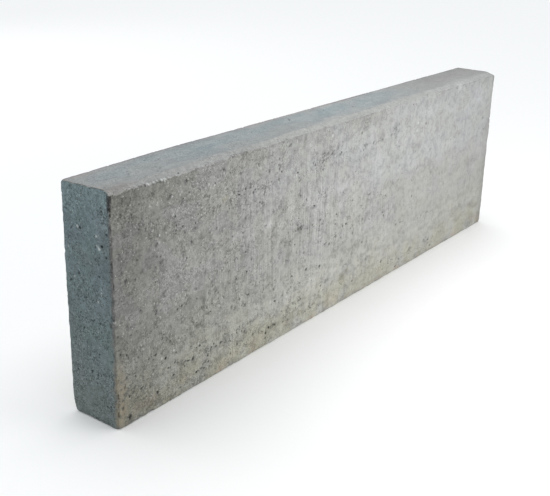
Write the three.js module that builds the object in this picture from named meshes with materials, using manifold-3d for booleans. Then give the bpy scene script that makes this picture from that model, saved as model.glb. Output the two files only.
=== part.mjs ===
// Precast concrete edging kerb: one solid cast unit, standing on its long narrow base.
// Units are millimetres. +Z is up, +X runs along the length and -Y is the exposed front face.
// The origin is the middle of the base, on the ground plane.
//
// The section is a plain upright rectangle with one shallow splay along the top front edge.
// Every other long edge keeps the small rounding of its mould corner, and the two end faces
// have the same soft arris all round. One bottom corner of the left-hand end is broken off.

import * as THREE from "three";
import { mergeVertices } from "three/addons/utils/BufferGeometryUtils.js";
import Module from "manifold-3d";

// Overall size of the unit
const LENGTH = 1000;
const WIDTH = 80;
const HEIGHT = 300;

// Splay along the top front edge
const SPLAY_ACROSS = 10; // taken off the top face
const SPLAY_DOWN = 5; // taken off the front face
const SPLAY_HEEL_R = 3; // rounding where the splay runs into the front face
const SPLAY_CREST_R = 6; // faint rounding where the splay runs into the top face

// Mould-corner rounding of the long edges
const BASE_ARRIS_R = 3.2;
const BACK_ARRIS_R = 2.6;
const ARC_STEPS = 5;

// Rounding of the edges around each end face
const END_ARRIS = 2.2;
const END_ARRIS_STEPS = 3;

// Broken bottom corner at the back of the left-hand end
const BREAK_ACROSS = 7; // measured on the end face, along the width
const BREAK_UP = 16; // measured on the end face, up from the base
const BREAK_ALONG = 22; // how far it runs along the length
const BREAK_BULGE = 1.1; // how far the middle of the break stands out from its chord

// Finish
const CONCRETE_COLOUR = 0xaaa69e;
const CONCRETE_ROUGHNESS = 0.93;

const HALF_L = LENGTH / 2;
const HALF_W = WIDTH / 2;

// Points of an arc that rounds the corner at `corner`, met from `before` and left towards `after`.
function roundedCorner(before, corner, after, radius, steps) {
  const a = new THREE.Vector2().subVectors(before, corner).normalize();
  const b = new THREE.Vector2().subVectors(after, corner).normalize();
  const half = Math.acos(THREE.MathUtils.clamp(a.dot(b), -1, 1)) / 2;
  const reach = radius / Math.tan(half);
  const start = corner.clone().addScaledVector(a, reach);
  const end = corner.clone().addScaledVector(b, reach);
  const centre = corner
    .clone()
    .addScaledVector(a.clone().add(b).normalize(), radius / Math.sin(half));
  const from = start.clone().sub(centre).angle();
  let turn = end.clone().sub(centre).angle() - from;
  if (turn > Math.PI) turn -= 2 * Math.PI;
  if (turn < -Math.PI) turn += 2 * Math.PI;
  const points = [];
  for (let i = 0; i <= steps; i++) {
    const t = from + (turn * i) / steps;
    points.push(
      new THREE.Vector2(
        centre.x + radius * Math.cos(t),
        centre.y + radius * Math.sin(t),
      ),
    );
  }
  return points;
}

// Section outline, anticlockwise: x is the width (front negative), y is the height.
function sectionShape() {
  const corners = [
    { p: new THREE.Vector2(-HALF_W, 0), r: BASE_ARRIS_R, n: ARC_STEPS },
    { p: new THREE.Vector2(HALF_W, 0), r: BASE_ARRIS_R, n: ARC_STEPS },
    { p: new THREE.Vector2(HALF_W, HEIGHT), r: BACK_ARRIS_R, n: ARC_STEPS },
    {
      p: new THREE.Vector2(-HALF_W + SPLAY_ACROSS, HEIGHT),
      r: SPLAY_CREST_R,
      n: 2,
    },
    {
      p: new THREE.Vector2(-HALF_W, HEIGHT - SPLAY_DOWN),
      r: SPLAY_HEEL_R,
      n: 3,
    },
  ];
  const outline = [];
  corners.forEach((c, i) => {
    const before = corners[(i + corners.length - 1) % corners.length].p;
    const after = corners[(i + 1) % corners.length].p;
    outline.push(...roundedCorner(before, c.p, after, c.r, c.n));
  });
  return new THREE.Shape(outline);
}

// The cast block: the section swept along the length, with a rounded arris round each end.
function blockGeometry() {
  const geometry = new THREE.ExtrudeGeometry(sectionShape(), {
    depth: LENGTH - 2 * END_ARRIS,
    steps: 1,
    curveSegments: 1,
    bevelEnabled: true,
    bevelThickness: END_ARRIS,
    bevelSize: END_ARRIS,
    bevelOffset: -END_ARRIS,
    bevelSegments: END_ARRIS_STEPS,
  });
  // section x -> Y, section y -> Z, sweep -> X
  geometry.applyMatrix4(
    new THREE.Matrix4().makeBasis(
      new THREE.Vector3(0, 1, 0),
      new THREE.Vector3(0, 0, 1),
      new THREE.Vector3(1, 0, 0),
    ),
  );
  geometry.translate(-HALF_L + END_ARRIS, 0, 0);
  return geometry;
}

// A block of waste whose lower face lies on the plane through a, b and c, on the side of `outside`.
function wasteGeometry(a, b, c, outside) {
  const normal = new THREE.Vector3()
    .crossVectors(b.clone().sub(a), c.clone().sub(a))
    .normalize();
  if (normal.dot(outside.clone().sub(a)) < 0) normal.negate();
  const size = 60;
  const geometry = new THREE.BoxGeometry(size, size, size);
  geometry.translate(0, 0, size / 2);
  geometry.applyQuaternion(
    new THREE.Quaternion().setFromUnitVectors(
      new THREE.Vector3(0, 0, 1),
      normal,
    ),
  );
  const middle = a.clone().add(b).add(c).divideScalar(3);
  geometry.translate(middle.x, middle.y, middle.z);
  return geometry;
}

// Two facets stand in for the rounded fracture of the broken corner.
function cornerBreakGeometries() {
  const corner = new THREE.Vector3(-HALF_L, HALF_W, 0);
  const low = new THREE.Vector3(-HALF_L, HALF_W - BREAK_ACROSS, 0);
  const high = new THREE.Vector3(-HALF_L, HALF_W, BREAK_UP);
  const far = new THREE.Vector3(-HALF_L + BREAK_ALONG, HALF_W, 0);
  const elbow = low
    .clone()
    .lerp(high, 0.42)
    .add(new THREE.Vector3(0, BREAK_BULGE * 0.9, -BREAK_BULGE * 0.42));
  return [
    wasteGeometry(low, elbow, far, corner),
    wasteGeometry(
      elbow,
      high,
      far.clone().add(new THREE.Vector3(0, 0, 1.2)),
      corner,
    ),
  ];
}

const wasm = await Module();
wasm.setup();

// Closed three.js geometry -> manifold solid
function solidFrom(geometry) {
  const bare = geometry.clone();
  bare.deleteAttribute("normal");
  bare.deleteAttribute("uv");
  const merged = mergeVertices(bare, 1e-4);
  return new wasm.Manifold(
    new wasm.Mesh({
      numProp: 3,
      vertProperties: new Float32Array(merged.attributes.position.array),
      triVerts: new Uint32Array(merged.index.array),
    }),
  );
}

// Manifold solid -> three.js geometry
function geometryFrom(solid) {
  const mesh = solid.getMesh();
  const positions = new Float32Array(mesh.numVert * 3);
  for (let i = 0; i < mesh.numVert; i++) {
    for (let k = 0; k < 3; k++) {
      positions[i * 3 + k] = mesh.vertProperties[i * mesh.numProp + k];
    }
  }
  const geometry = new THREE.BufferGeometry();
  geometry.setAttribute("position", new THREE.BufferAttribute(positions, 3));
  geometry.setIndex(
    new THREE.BufferAttribute(new Uint32Array(mesh.triVerts), 1),
  );
  geometry.computeVertexNormals();
  return geometry;
}

let kerb = solidFrom(blockGeometry());
for (const waste of cornerBreakGeometries()) {
  kerb = kerb.subtract(solidFrom(waste));
}

const concrete = new THREE.MeshStandardMaterial({
  name: "concrete",
  color: CONCRETE_COLOUR,
  roughness: CONCRETE_ROUGHNESS,
  metalness: 0,
});

const kerbStone = new THREE.Mesh(geometryFrom(kerb), concrete);
kerbStone.name = "kerb_stone";

const root = new THREE.Group();
root.name = "edging_kerb";
root.add(kerbStone);

export default root;
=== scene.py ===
"""Looks for the precast concrete edging kerb.

The block is one cast piece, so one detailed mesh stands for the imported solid. It starts as a fine
lattice over the kerb's box and is then carved the way the real one is made and worn: the splay and
the mould-rounded arrises, the crumbly heel of the splay, small spalls along the arrises, the broken
bottom corner, and the open voids of dry-cast concrete. Flat parts are then thinned out, so that the
triangles are left where there is relief. Colour, fine grain, drag streaks and stains are nodes.
Lengths inside the carving are millimetres, measured from the left bottom front corner of the block.
"""

import math
import time

import bpy
import numpy as np
from mathutils import Matrix, Vector


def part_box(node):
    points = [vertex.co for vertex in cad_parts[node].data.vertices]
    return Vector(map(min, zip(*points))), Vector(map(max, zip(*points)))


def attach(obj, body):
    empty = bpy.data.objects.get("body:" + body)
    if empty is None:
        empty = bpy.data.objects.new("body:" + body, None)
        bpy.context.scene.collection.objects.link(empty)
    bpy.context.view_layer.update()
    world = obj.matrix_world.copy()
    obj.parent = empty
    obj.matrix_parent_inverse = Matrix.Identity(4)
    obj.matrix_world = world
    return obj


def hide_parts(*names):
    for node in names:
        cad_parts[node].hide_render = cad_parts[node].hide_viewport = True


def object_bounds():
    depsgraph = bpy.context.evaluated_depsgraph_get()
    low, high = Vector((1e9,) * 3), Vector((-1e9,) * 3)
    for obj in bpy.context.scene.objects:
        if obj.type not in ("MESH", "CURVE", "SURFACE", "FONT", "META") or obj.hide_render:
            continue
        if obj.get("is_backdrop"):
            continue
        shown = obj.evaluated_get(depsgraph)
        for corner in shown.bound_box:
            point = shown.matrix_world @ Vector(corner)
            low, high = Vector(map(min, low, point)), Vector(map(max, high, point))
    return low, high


T0 = time.time()
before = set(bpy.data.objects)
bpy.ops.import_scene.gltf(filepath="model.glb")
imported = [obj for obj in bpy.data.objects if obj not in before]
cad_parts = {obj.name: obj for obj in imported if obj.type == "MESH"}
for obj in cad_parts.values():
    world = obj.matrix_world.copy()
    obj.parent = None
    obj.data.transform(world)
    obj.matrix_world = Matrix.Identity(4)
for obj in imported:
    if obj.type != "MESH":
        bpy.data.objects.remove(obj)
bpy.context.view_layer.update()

NODE = "kerb_stone"
lo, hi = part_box(NODE)
ORIGIN = np.array(lo) * 1000.0  # row frame, mm
L, W, H = ((np.array(hi) - np.array(lo)) * 1000.0).tolist()

TRIANGLES = 188_000
SPLAY_ACROSS, SPLAY_DOWN = 10.0, 5.0
DRAFT_FRONT, DRAFT_BACK = 1.0, 0.6  # how far the mould faces lean in at the top


# ------------------------------------------------------------------ noise fields


class Field:
    """A periodic random field on a plane, of unit deviation, smoothed to lu by lv millimetres."""

    def __init__(self, seed, lu, lv, size=(1024.0, 320.0), step=1.0, rough=0.0):
        nu, nv = int(size[0] / step), int(size[1] / step)
        n = np.random.default_rng(seed).standard_normal((nv, nu))
        fu = np.fft.rfftfreq(nu, step)[None, :]
        fv = np.fft.fftfreq(nv, step)[:, None]
        k = (fu * lu) ** 2 + (fv * lv) ** 2
        if rough:  # a fractal falloff rather than one scale
            gain = 1.0 / (1.0 + (2 * math.pi) ** 2 * k) ** (rough / 2)
        else:
            gain = np.exp(-0.5 * (2 * math.pi) ** 2 * k * 0.12)
        gain[0, 0] = 0.0
        f = np.fft.irfft2(np.fft.rfft2(n) * gain, s=(nv, nu))
        self.f = (f / f.std()).astype(np.float32)
        self.step, self.nu, self.nv = step, nu, nv

    def __call__(self, u, v):
        a, b = np.asarray(u) / self.step, np.asarray(v) / self.step
        i, j = np.floor(a).astype(int), np.floor(b).astype(int)
        s, t = a - i, b - j
        i0, i1, j0, j1 = i % self.nu, (i + 1) % self.nu, j % self.nv, (j + 1) % self.nv
        f = self.f
        return (f[j0, i0] * (1 - s) + f[j0, i1] * s) * (1 - t) + (
            f[j1, i0] * (1 - s) + f[j1, i1] * s
        ) * t


class Line:
    """A random curve along an edge, of unit deviation, smoothed to `length` millimetres."""

    def __init__(self, seed, length, size=1100.0, step=0.5):
        n = int(size / step)
        x = np.random.default_rng(seed).standard_normal(n)
        k = (np.fft.rfftfreq(n, step) * length) ** 2
        f = np.fft.irfft(
            np.fft.rfft(x) * np.exp(-0.5 * (2 * math.pi) ** 2 * k * 0.12), n=n
        )
        self.f, self.step, self.n = f / f.std(), step, n

    def __call__(self, s):
        a = np.asarray(s) / self.step
        i = np.floor(a).astype(int)
        t = a - i
        return self.f[i % self.n] * (1 - t) + self.f[(i + 1) % self.n] * t


def smooth(a, b, x):
    t = np.clip((np.asarray(x, float) - a) / (b - a), 0, 1)
    return t * t * (3 - 2 * t)


def hump(x, centre, half):
    """1 at the centre, falling smoothly to 0 at half a width away."""
    return 1 - smooth(0, 1, np.abs((np.asarray(x, float) - centre) / half))


# ------------------------------------------------------------------ lattice over the box


def axis(length, fine, coarse, band):
    nb = int(round(band / fine))
    nm = max(1, int(round((length - 2 * band) / coarse)))
    a = np.linspace(0, band, nb + 1)
    b = np.linspace(band, length - band, nm + 1)
    c = np.linspace(length - band, length, nb + 1)
    return np.concatenate([a, b[1:], c[1:]])


XS = axis(L, 0.75, 1.0, 15.0)
YS = axis(W, 0.75, 1.0, 15.0)
ZS = axis(H, 0.75, 1.0, 15.0)
nx, ny, nz = len(XS), len(YS), len(ZS)

ident = np.full((nx, ny, nz), -1, np.int32)
shell = np.zeros((nx, ny, nz), bool)
shell[0], shell[-1] = True, True
shell[:, 0], shell[:, -1] = True, True
shell[:, :, 0], shell[:, :, -1] = True, True
I, J, K = np.nonzero(shell)
ident[I, J, K] = np.arange(len(I), dtype=np.int32)
P = np.stack([XS[I], YS[J], ZS[K]], 1)


def quads(grid, flip):
    a, b, c, d = grid[:-1, :-1], grid[1:, :-1], grid[1:, 1:], grid[:-1, 1:]
    q = np.stack([a, b, c, d], -1).reshape(-1, 4)
    return q[:, ::-1] if flip else q


QUADS = np.concatenate(
    [
        quads(ident[:, 0, :], False),  # front, facing -Y
        quads(ident[:, -1, :], True),  # back
        quads(ident[:, :, 0], True),  # base
        quads(ident[:, :, -1], False),  # top
        quads(ident[0], True),  # left end
        quads(ident[-1], False),  # right end
    ]
)
del shell

# ------------------------------------------------------------------ relief of the faces

PIT_FADE = 2.6  # relief fades out this near an edge, where the arris carving takes over


def edge_fade(a, b, la, lb):
    d = np.minimum(np.minimum(a, la - a), np.minimum(b, lb - b))
    return smooth(0.6, PIT_FADE, d)


def dig(height, us, vs, pits):
    """Presses irregular bowls into a face's height grid."""
    for u, v, ru, rv, depth, turn, phase in pits:
        reach = max(ru, rv) * 1.5
        i0, i1 = np.searchsorted(us, [u - reach, u + reach])
        j0, j1 = np.searchsorted(vs, [v - reach, v + reach])
        if i0 >= i1 or j0 >= j1:
            continue
        du = us[i0:i1, None] - u
        dv = vs[None, j0:j1] - v
        c, s = math.cos(turn), math.sin(turn)
        a, b = (du * c + dv * s) / ru, (-du * s + dv * c) / rv
        ang = np.arctan2(b, a)
        rim = 1 + 0.18 * np.sin(2 * ang + phase) + 0.12 * np.sin(3 * ang - 2 * phase)
        r = np.sqrt(a * a + b * b) / rim
        bowl = depth * np.clip(1 - r**2.4, 0, 1)
        cell = height[i0:i1, j0:j1]
        np.maximum(cell, bowl, out=cell)


def scatter(
    seed, count, la, lb, density, small, large, tail, deep=(0.45, 0.95), stretch=0.35
):
    """Random voids: many small, few large, kept where `density` says so."""
    rng = np.random.default_rng(seed)
    n = count * 5
    u, v = rng.uniform(1.5, la - 1.5, n), rng.uniform(1.5, lb - 1.5, n)
    keep = rng.uniform(0, 1, n) < np.clip(density(u, v), 0, 1)
    u, v = u[keep][:count], v[keep][:count]
    m = len(u)
    r = small + (large - small) * rng.power(1.0 / tail, m) if tail > 0 else small
    ratio = np.exp(rng.normal(0, stretch, m))
    ru, rv = r * np.sqrt(ratio), r / np.sqrt(ratio)
    depth = r * rng.uniform(deep[0], deep[1], m)
    return np.stack(
        [
            u,
            v,
            ru,
            rv,
            depth,
            rng.uniform(0, math.pi, m),
            rng.uniform(0, 2 * math.pi, m),
        ],
        1,
    )


drift = Field(11, 46, 13)
clump = Field(12, 9, 6)


def pitting(seed, u, v, density, depth=0.8):
    """Open texture between the grains: the peaks of a field of two or three scales, more of them where
    `density` is high."""
    level = 0.0
    for i, (size, weight) in enumerate(((2.4, 1.0), (4.2, 0.7), (8.0, 0.25))):
        level = level + weight * Field(seed + i, size * 1.1, size * 0.9, step=0.8)(u, v)
    level = level / math.sqrt(1.0 + 0.49 + 0.0625)
    over = np.clip(level - (2.55 - 0.9 * np.clip(density, 0, 1.1)), 0, None)
    return depth * (1 - np.exp(-over / 0.38))


def crowds(seed, tries, la, lb, density, reach=(2.5, 9.0), flat=(0.9, 2.6), each=(3, 10), radius=(0.8, 1.7)):
    """Voids in groups: where the stiff mix stayed open they lie close together in short level runs."""
    rng = np.random.default_rng(seed)
    u, v = rng.uniform(5, la - 5, tries), rng.uniform(5, lb - 5, tries)
    keep = rng.uniform(0, 1, tries) < np.clip(density(u, v), 0, 1)
    rows = []
    for cu, cv in zip(u[keep], v[keep]):
        m = int(rng.integers(*each))
        su, sv, lean = rng.uniform(*reach), rng.uniform(*flat), rng.normal(0, 0.12)
        du, dv = su * rng.normal(0, 1, m), sv * rng.normal(0, 1, m)
        r = radius[0] + (radius[1] - radius[0]) * rng.power(0.7, m)
        ratio = np.exp(rng.normal(0.05, 0.2, m))
        rows.append(
            np.stack(
                [
                    np.clip(cu + du, 2.0, la - 2.0),
                    np.clip(cv + dv + lean * du, 2.0, lb - 2.0),
                    r * np.sqrt(ratio),
                    r / np.sqrt(ratio),
                    r * rng.uniform(0.45, 0.95, m),
                    rng.uniform(0, math.pi, m),
                    rng.uniform(0, 2 * math.pi, m),
                ],
                1,
            )
        )
    return np.concatenate(rows)


def blurred(grid, reach):
    """A grid smoothed over `reach` cells each way."""
    k = np.exp(-0.5 * (np.arange(-3 * reach, 3 * reach + 1) / reach) ** 2)
    g = np.pad(grid, 3 * reach, mode="reflect")
    for axis_n in (0, 1):
        g = np.apply_along_axis(np.convolve, axis_n, g, k / k.sum(), mode="valid")
    return g


def front_density(x, z):
    band = (
        0.75 * hump(z, 246, 22) * smooth(60, 190, x) * (1 - smooth(560, 760, x))
        + 0.60 * hump(z, 154, 24) * smooth(240, 340, x) * (1 - smooth(640, 860, x))
        + 0.85 * hump(z, 34, 34) * (1 - smooth(330, 470, x))
        + 0.35 * hump(z, 118, 30) * smooth(420, 480, x) * (1 - smooth(620, 760, x))
        + 0.40 * hump(z, 82, 26) * (1 - smooth(500, 720, x))
    )
    base = 0.20 + 0.22 * (1 - smooth(120, 620, x))
    return (base + band) * np.clip(0.3 + 0.45 * drift(x, z) + 0.6 * clump(x, z), 0, 2)


def front_rows(x, z):
    """Where the groups of voids lie on the front: level rows left by the filling, and an open foot."""
    row_a = hump(z, 250 + 3 * np.sin(x / 47), 13) * smooth(190, 250, x) * (1 - smooth(690, 800, x))
    row_b = hump(z, 157 + 3 * np.sin(x / 61), 14) * smooth(230, 300, x) * (1 - smooth(740, 880, x))
    foot = hump(z, 33, 26) * (1 - smooth(360, 430, x))
    foot_r = hump(z, 26, 15) * smooth(560, 600, x) * (1 - smooth(760, 860, x))
    mid_l = hump(z, 92, 30) * (1 - smooth(230, 330, x))
    mid = hump(z, 124, 20) * smooth(420, 500, x) * (1 - smooth(600, 700, x))
    open_l = 0.16 * (1 - smooth(250, 700, x))
    return 1.1 * row_a + 0.95 * row_b + 1.25 * foot + 0.8 * foot_r + 0.6 * mid_l + 0.55 * mid + open_l + 0.07


def back_rows(x, z):
    row_a = hump(z, 228 + 4 * np.sin(x / 52), 14) * smooth(120, 260, x)
    row_b = hump(z, 120 + 5 * np.sin(x / 70), 15) * (1 - smooth(520, 760, x))
    foot = hump(z, 36, 28) * (0.35 + 0.65 * smooth(420, 640, x))
    return 0.9 * row_a + 0.9 * row_b + 1.1 * foot + 0.15


def back_density(x, z):
    band = 0.5 * hump(z, 66, 42) + 0.45 * hump(z, 205, 34)
    return (0.24 + band) * np.clip(
        0.3 + 0.45 * drift(x + 377, z + 90) + 0.6 * clump(x + 150, z), 0, 2
    )


# The larger voids that can be told apart on the front: along, up, half width, half height, depth.
FRONT_HOLES = [
    (8, 98, 1.8, 1.6, 1.6), (9, 26, 1.5, 3.2, 1.6), (18, 94, 2.1, 1.6, 1.7), (20, 10, 2.4, 4.0, 2.2),
    (20, 38, 1.3, 1.9, 1.6), (40, 40, 1.5, 2.4, 1.6), (54, 74, 1.5, 1.2, 1.5), (66, 75, 2.2, 1.8, 1.5),
    (68, 22, 2.2, 3.0, 1.9), (83, 64, 1.5, 1.9, 3.3), (88, 48, 2.0, 1.8, 1.4), (92, 84, 1.7, 2.0, 1.9),
    (97, 34, 3.2, 1.3, 1.9), (100, 51, 1.4, 1.8, 1.7), (106, 122, 1.3, 1.5, 1.9), (114, 124, 1.8, 1.4, 1.4),
    (118, 38, 1.4, 1.5, 1.6), (118, 228, 1.8, 1.2, 1.5), (125, 43, 2.4, 1.3, 2.0), (125, 185, 1.4, 1.5, 1.6),
    (134, 42, 2.6, 2.2, 2.1), (140, 20, 1.7, 2.0, 2.3), (147, 56, 1.9, 1.9, 1.7), (155, 20, 2.3, 1.5, 1.7),
    (164, 26, 1.7, 1.9, 1.5), (170, 44, 2.0, 1.5, 1.9), (180, 42, 2.4, 1.3, 1.7), (189, 44, 2.4, 1.5, 1.9),
    (210, 19, 1.6, 1.7, 1.6), (213, 188, 2.0, 1.2, 1.1), (226, 242, 2.2, 1.3, 2.0), (234, 44, 1.4, 1.7, 1.7),
    (240, 41, 1.6, 2.0, 2.2), (244, 129, 2.0, 1.4, 1.7), (248, 94, 2.2, 1.7, 1.6), (256, 238, 1.8, 2.2, 1.7),
    (288, 20, 2.2, 2.1, 2.2), (288, 12, 1.5, 2.6, 1.4), (296, 26, 1.8, 1.9, 2.3), (298, 127, 1.4, 1.6, 1.1),
    (306, 82, 1.4, 2.0, 1.6), (309, 63, 3.2, 1.3, 1.7), (318, 253, 1.7, 1.4, 1.9), (354, 136, 1.4, 1.5, 1.2),
    (356, 243, 1.7, 1.5, 1.7), (360, 164, 2.1, 1.4, 1.5), (365, 207, 1.4, 1.8, 1.2), (373, 44, 1.8, 2.5, 1.4),
    (385, 88, 3.0, 2.6, 1.5), (385, 152, 2.1, 1.2, 1.2), (398, 154, 2.2, 1.4, 1.3), (400, 244, 2.1, 1.2, 1.2),
    (401, 183, 3.0, 1.3, 1.7), (418, 244, 2.2, 1.3, 1.2), (421, 82, 2.4, 3.4, 1.6), (426, 48, 2.0, 2.1, 1.6),
    (462, 154, 2.1, 1.5, 1.7), (482, 130, 2.0, 1.8, 1.6), (491, 131, 2.4, 1.8, 2.0), (518, 26, 2.6, 2.0, 1.4),
    (542, 86, 2.2, 2.2, 1.4), (608, 32, 3.4, 1.8, 1.4), (652, 87, 2.6, 1.7, 1.4), (666, 87, 2.8, 1.7, 1.5),
    (660, 8, 3.4, 2.0, 1.8), (777, 24, 2.8, 1.6, 2.0), (788, 10, 3.0, 2.6, 1.4), (260, 241, 1.8, 1.6, 1.5),
]
END_HOLES = [
    (15, 232, 1.9, 1.8, 2.6), (50, 247, 1.5, 1.6, 2.3), (42, 66, 1.8, 1.8, 1.8), (18, 26, 2.0, 1.9, 1.5),
    (52, 121, 1.7, 1.7, 1.5), (7, 248, 1.4, 1.5, 1.5), (56, 190, 1.5, 2.0, 1.4), (26, 229, 1.6, 1.2, 1.4),
    (9, 220, 1.8, 2.0, 1.4), (19, 274, 1.5, 1.4, 1.3), (24, 134, 1.6, 1.5, 1.3), (32, 64, 1.4, 1.5, 1.3),
    (22, 194, 1.6, 1.5, 1.3), (46, 162, 1.6, 1.5, 1.3), (28, 93, 1.5, 1.5, 1.2), (29, 262, 1.5, 1.4, 1.2),
    (7, 90, 1.5, 1.8, 1.3), (57, 140, 1.4, 1.3, 1.3), (46, 201, 1.6, 1.4, 1.2), (14, 105, 1.4, 1.5, 1.2),
]
TOP_HOLES = [
    (410, 58, 3.0, 2.3, 2.0), (416, 64, 2.4, 1.5, 1.2), (63, 34, 2.0, 1.6, 1.1), (105, 24, 1.9, 1.8, 1.1),
    (92, 15, 1.8, 1.8, 1.0), (499, 57, 3.0, 2.0, 1.0), (743, 56, 3.0, 2.0, 1.0), (116, 61, 1.5, 1.4, 1.0),
]
# Pale grains of aggregate standing in the skin: along, up or across, half sizes, how pale.
FRONT_GRAINS = [
    (63, 267, 2.2, 1.4, 0.8), (72, 173, 1.6, 1.8, 0.6), (78, 227, 1.3, 1.5, 0.7), (98, 68, 1.4, 1.3, 0.7),
    (100, 269, 1.5, 1.4, 0.9), (101, 247, 1.4, 1.9, 0.9), (131, 241, 1.4, 1.4, 0.6), (145, 275, 1.8, 1.4, 0.6),
    (153, 243, 1.5, 1.9, 0.8), (166, 270, 1.3, 1.4, 0.6), (171, 176, 1.7, 1.9, 0.5), (188, 35, 2.6, 1.4, 0.6),
    (211, 246, 1.4, 1.4, 0.6), (217, 21, 1.8, 1.6, 0.7), (223, 190, 1.4, 2.8, 0.6), (251, 235, 1.3, 2.8, 0.6),
    (297, 66, 1.5, 3.4, 0.7), (336, 60, 1.5, 2.8, 0.6), (352, 240, 1.8, 3.6, 0.9), (352, 288, 1.4, 2.6, 0.7),
]
END_GRAINS = [
    (20, 228, 1.7, 1.9, 1.0), (54, 248, 1.3, 1.6, 1.0), (26, 160, 1.2, 1.2, 0.9), (24, 242, 1.0, 1.3, 0.8),
    (64, 183, 1.6, 1.3, 0.7), (19, 174, 1.0, 1.7, 0.6), (61, 190, 1.4, 1.7, 0.5), (28, 122, 1.6, 1.2, 0.5),
    (28, 103, 1.4, 2.6, 0.4), (70, 135, 1.2, 1.0, 0.5), (18, 242, 1.2, 1.1, 0.5), (9, 255, 2.2, 1.4, 0.5),
]
TOP_GRAINS = [
    (67, 32, 2.0, 1.5, 0.7), (145, 31, 1.6, 1.5, 0.5), (148, 18, 1.5, 1.4, 0.5), (22, 12, 1.5, 1.4, 0.4),
    (82, 37, 1.5, 1.8, 0.4), (253, 54, 2.0, 1.5, 0.4), (290, 21, 1.8, 1.4, 0.4),
]


def with_phase(rows, seed):
    rng = np.random.default_rng(seed)
    return [(*r, rng.uniform(-0.3, 0.3), rng.uniform(0, 6.28)) for r in rows]


def single_out(us, vs, pits, holes, grains, seed):
    """Adds the listed voids to `pits`; returns how dark each place in them is, and how pale the listed
    grains are."""
    dark, pale = np.zeros_like(pits), np.zeros_like(pits)
    rows = with_phase(holes, seed)
    dig(pits, us, vs, rows)
    dig(dark, us, vs, [(*r[:4], min(1.0, 0.42 * r[4]), *r[5:]) for r in rows])
    dig(pale, us, vs, with_phase(grains, seed + 1))
    pits *= 1 - 0.9 * np.clip(pale * 2, 0, 1)
    return dark, pale


heights = {}

# front and back: cast against upright mould plates, dragged by the mould as it lifts
wave = Field(21, 130, 90)
ripple = Field(22, 17, 26)
drag = Field(23, 1.7, 46, step=0.8)
for name, seed, density, rows, count, shift in (
    ("front", 31, front_density, front_rows, 260, 0.0),
    ("back", 36, back_density, back_rows, 300, 437.0),
):
    u, v = XS[:, None], ZS[None, :]
    h = (
        0.22
        + 0.14 * wave(u + shift, v)
        + 0.07 * ripple(u + shift, v)
        + 0.055 * drag(u + shift, v + shift)
    )
    h = np.clip(h, 0, None)
    pits = pitting(seed * 100, u, v, density(u, v))
    dig(
        pits,
        XS,
        ZS,
        scatter(seed, count, L, H, density, 1.0, 2.4, 2.6, deep=(0.3, 0.7)),
    )
    dig(pits, XS, ZS, crowds(seed + 200, 1250, L, H, rows))
    fade = edge_fade(u, v, L, H)
    around = blurred(np.minimum(pits, 1.2), 3)
    dark, pale = single_out(
        XS, ZS, pits, FRONT_HOLES if name == "front" else [], FRONT_GRAINS if name == "front" else [], 5
    )
    heights[name] = ((h + pits - 0.45 * pale) * fade, pits * fade, around, dark, pale)

# top: struck off and pressed smooth, with a few shallow pores and a slight hollow
u, v = XS[:, None], YS[None, :]
top_wave, top_fine = Field(41, 120, 50), Field(42, 22, 9)
h = np.clip(0.24 + 0.15 * top_wave(u, v) + 0.06 * top_fine(u, v), 0, None)
pits = np.zeros_like(h)
top_density = (
    lambda x, y: 0.25
    + 0.5 * hump(y, W, 16)
    + 0.35 * (1 - smooth(30, 180, x))
    + 0.2 * clump(x, y)
)
dig(
    pits,
    XS,
    YS,
    scatter(43, 260, L, W, top_density, 0.7, 1.9, 3.4, deep=(0.35, 0.7)),
)
dark, pale = single_out(XS, YS, pits, TOP_HOLES, TOP_GRAINS, 7)
fade = edge_fade(u, v, L, W)
heights["top"] = (
    (h + pits - 0.4 * pale) * fade, pits * fade, blurred(np.minimum(pits, 1.2), 3), dark, pale
)

# base: cast on the pallet, flat
h = np.clip(0.12 + 0.06 * top_wave(u + 300, v), 0, None)
pits = np.zeros_like(h)
dig(
    pits,
    XS,
    YS,
    scatter(44, 700, L, W, lambda x, y: 0.4 + 0.3 * clump(x, y), 0.8, 2.6, 3.0),
)
heights["base"] = ((h + pits) * fade, pits * fade, blurred(np.minimum(pits, 1.2), 3), 0 * h, 0 * h)

# ends: tighter and finer than the long faces
u, v = YS[:, None], ZS[None, :]
for name, seed, shift in (("left", 51, 0.0), ("right", 52, 233.0)):
    h = np.clip(
        0.2 + 0.1 * wave(u + shift, v + 40) + 0.06 * ripple(u + shift, v), 0, None
    )
    pits = np.zeros_like(h)
    density = lambda y, z: 0.35 + 0.25 * clump(y + 3 * shift, z) + 0.1 * hump(z, 230, 60)
    dig(
        pits,
        YS,
        ZS,
        scatter(seed, 210, W, H, density, 0.7, 1.9, 3.4, deep=(0.4, 0.8)),
    )
    around = blurred(np.minimum(pits, 1.2), 3)
    dark, pale = single_out(
        YS, ZS, pits, END_HOLES if name == "left" else [], END_GRAINS if name == "left" else [], 9
    )
    fade = edge_fade(u, v, W, H)
    heights[name] = ((h + pits - 0.4 * pale) * fade, pits * fade, around, dark, pale)

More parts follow.
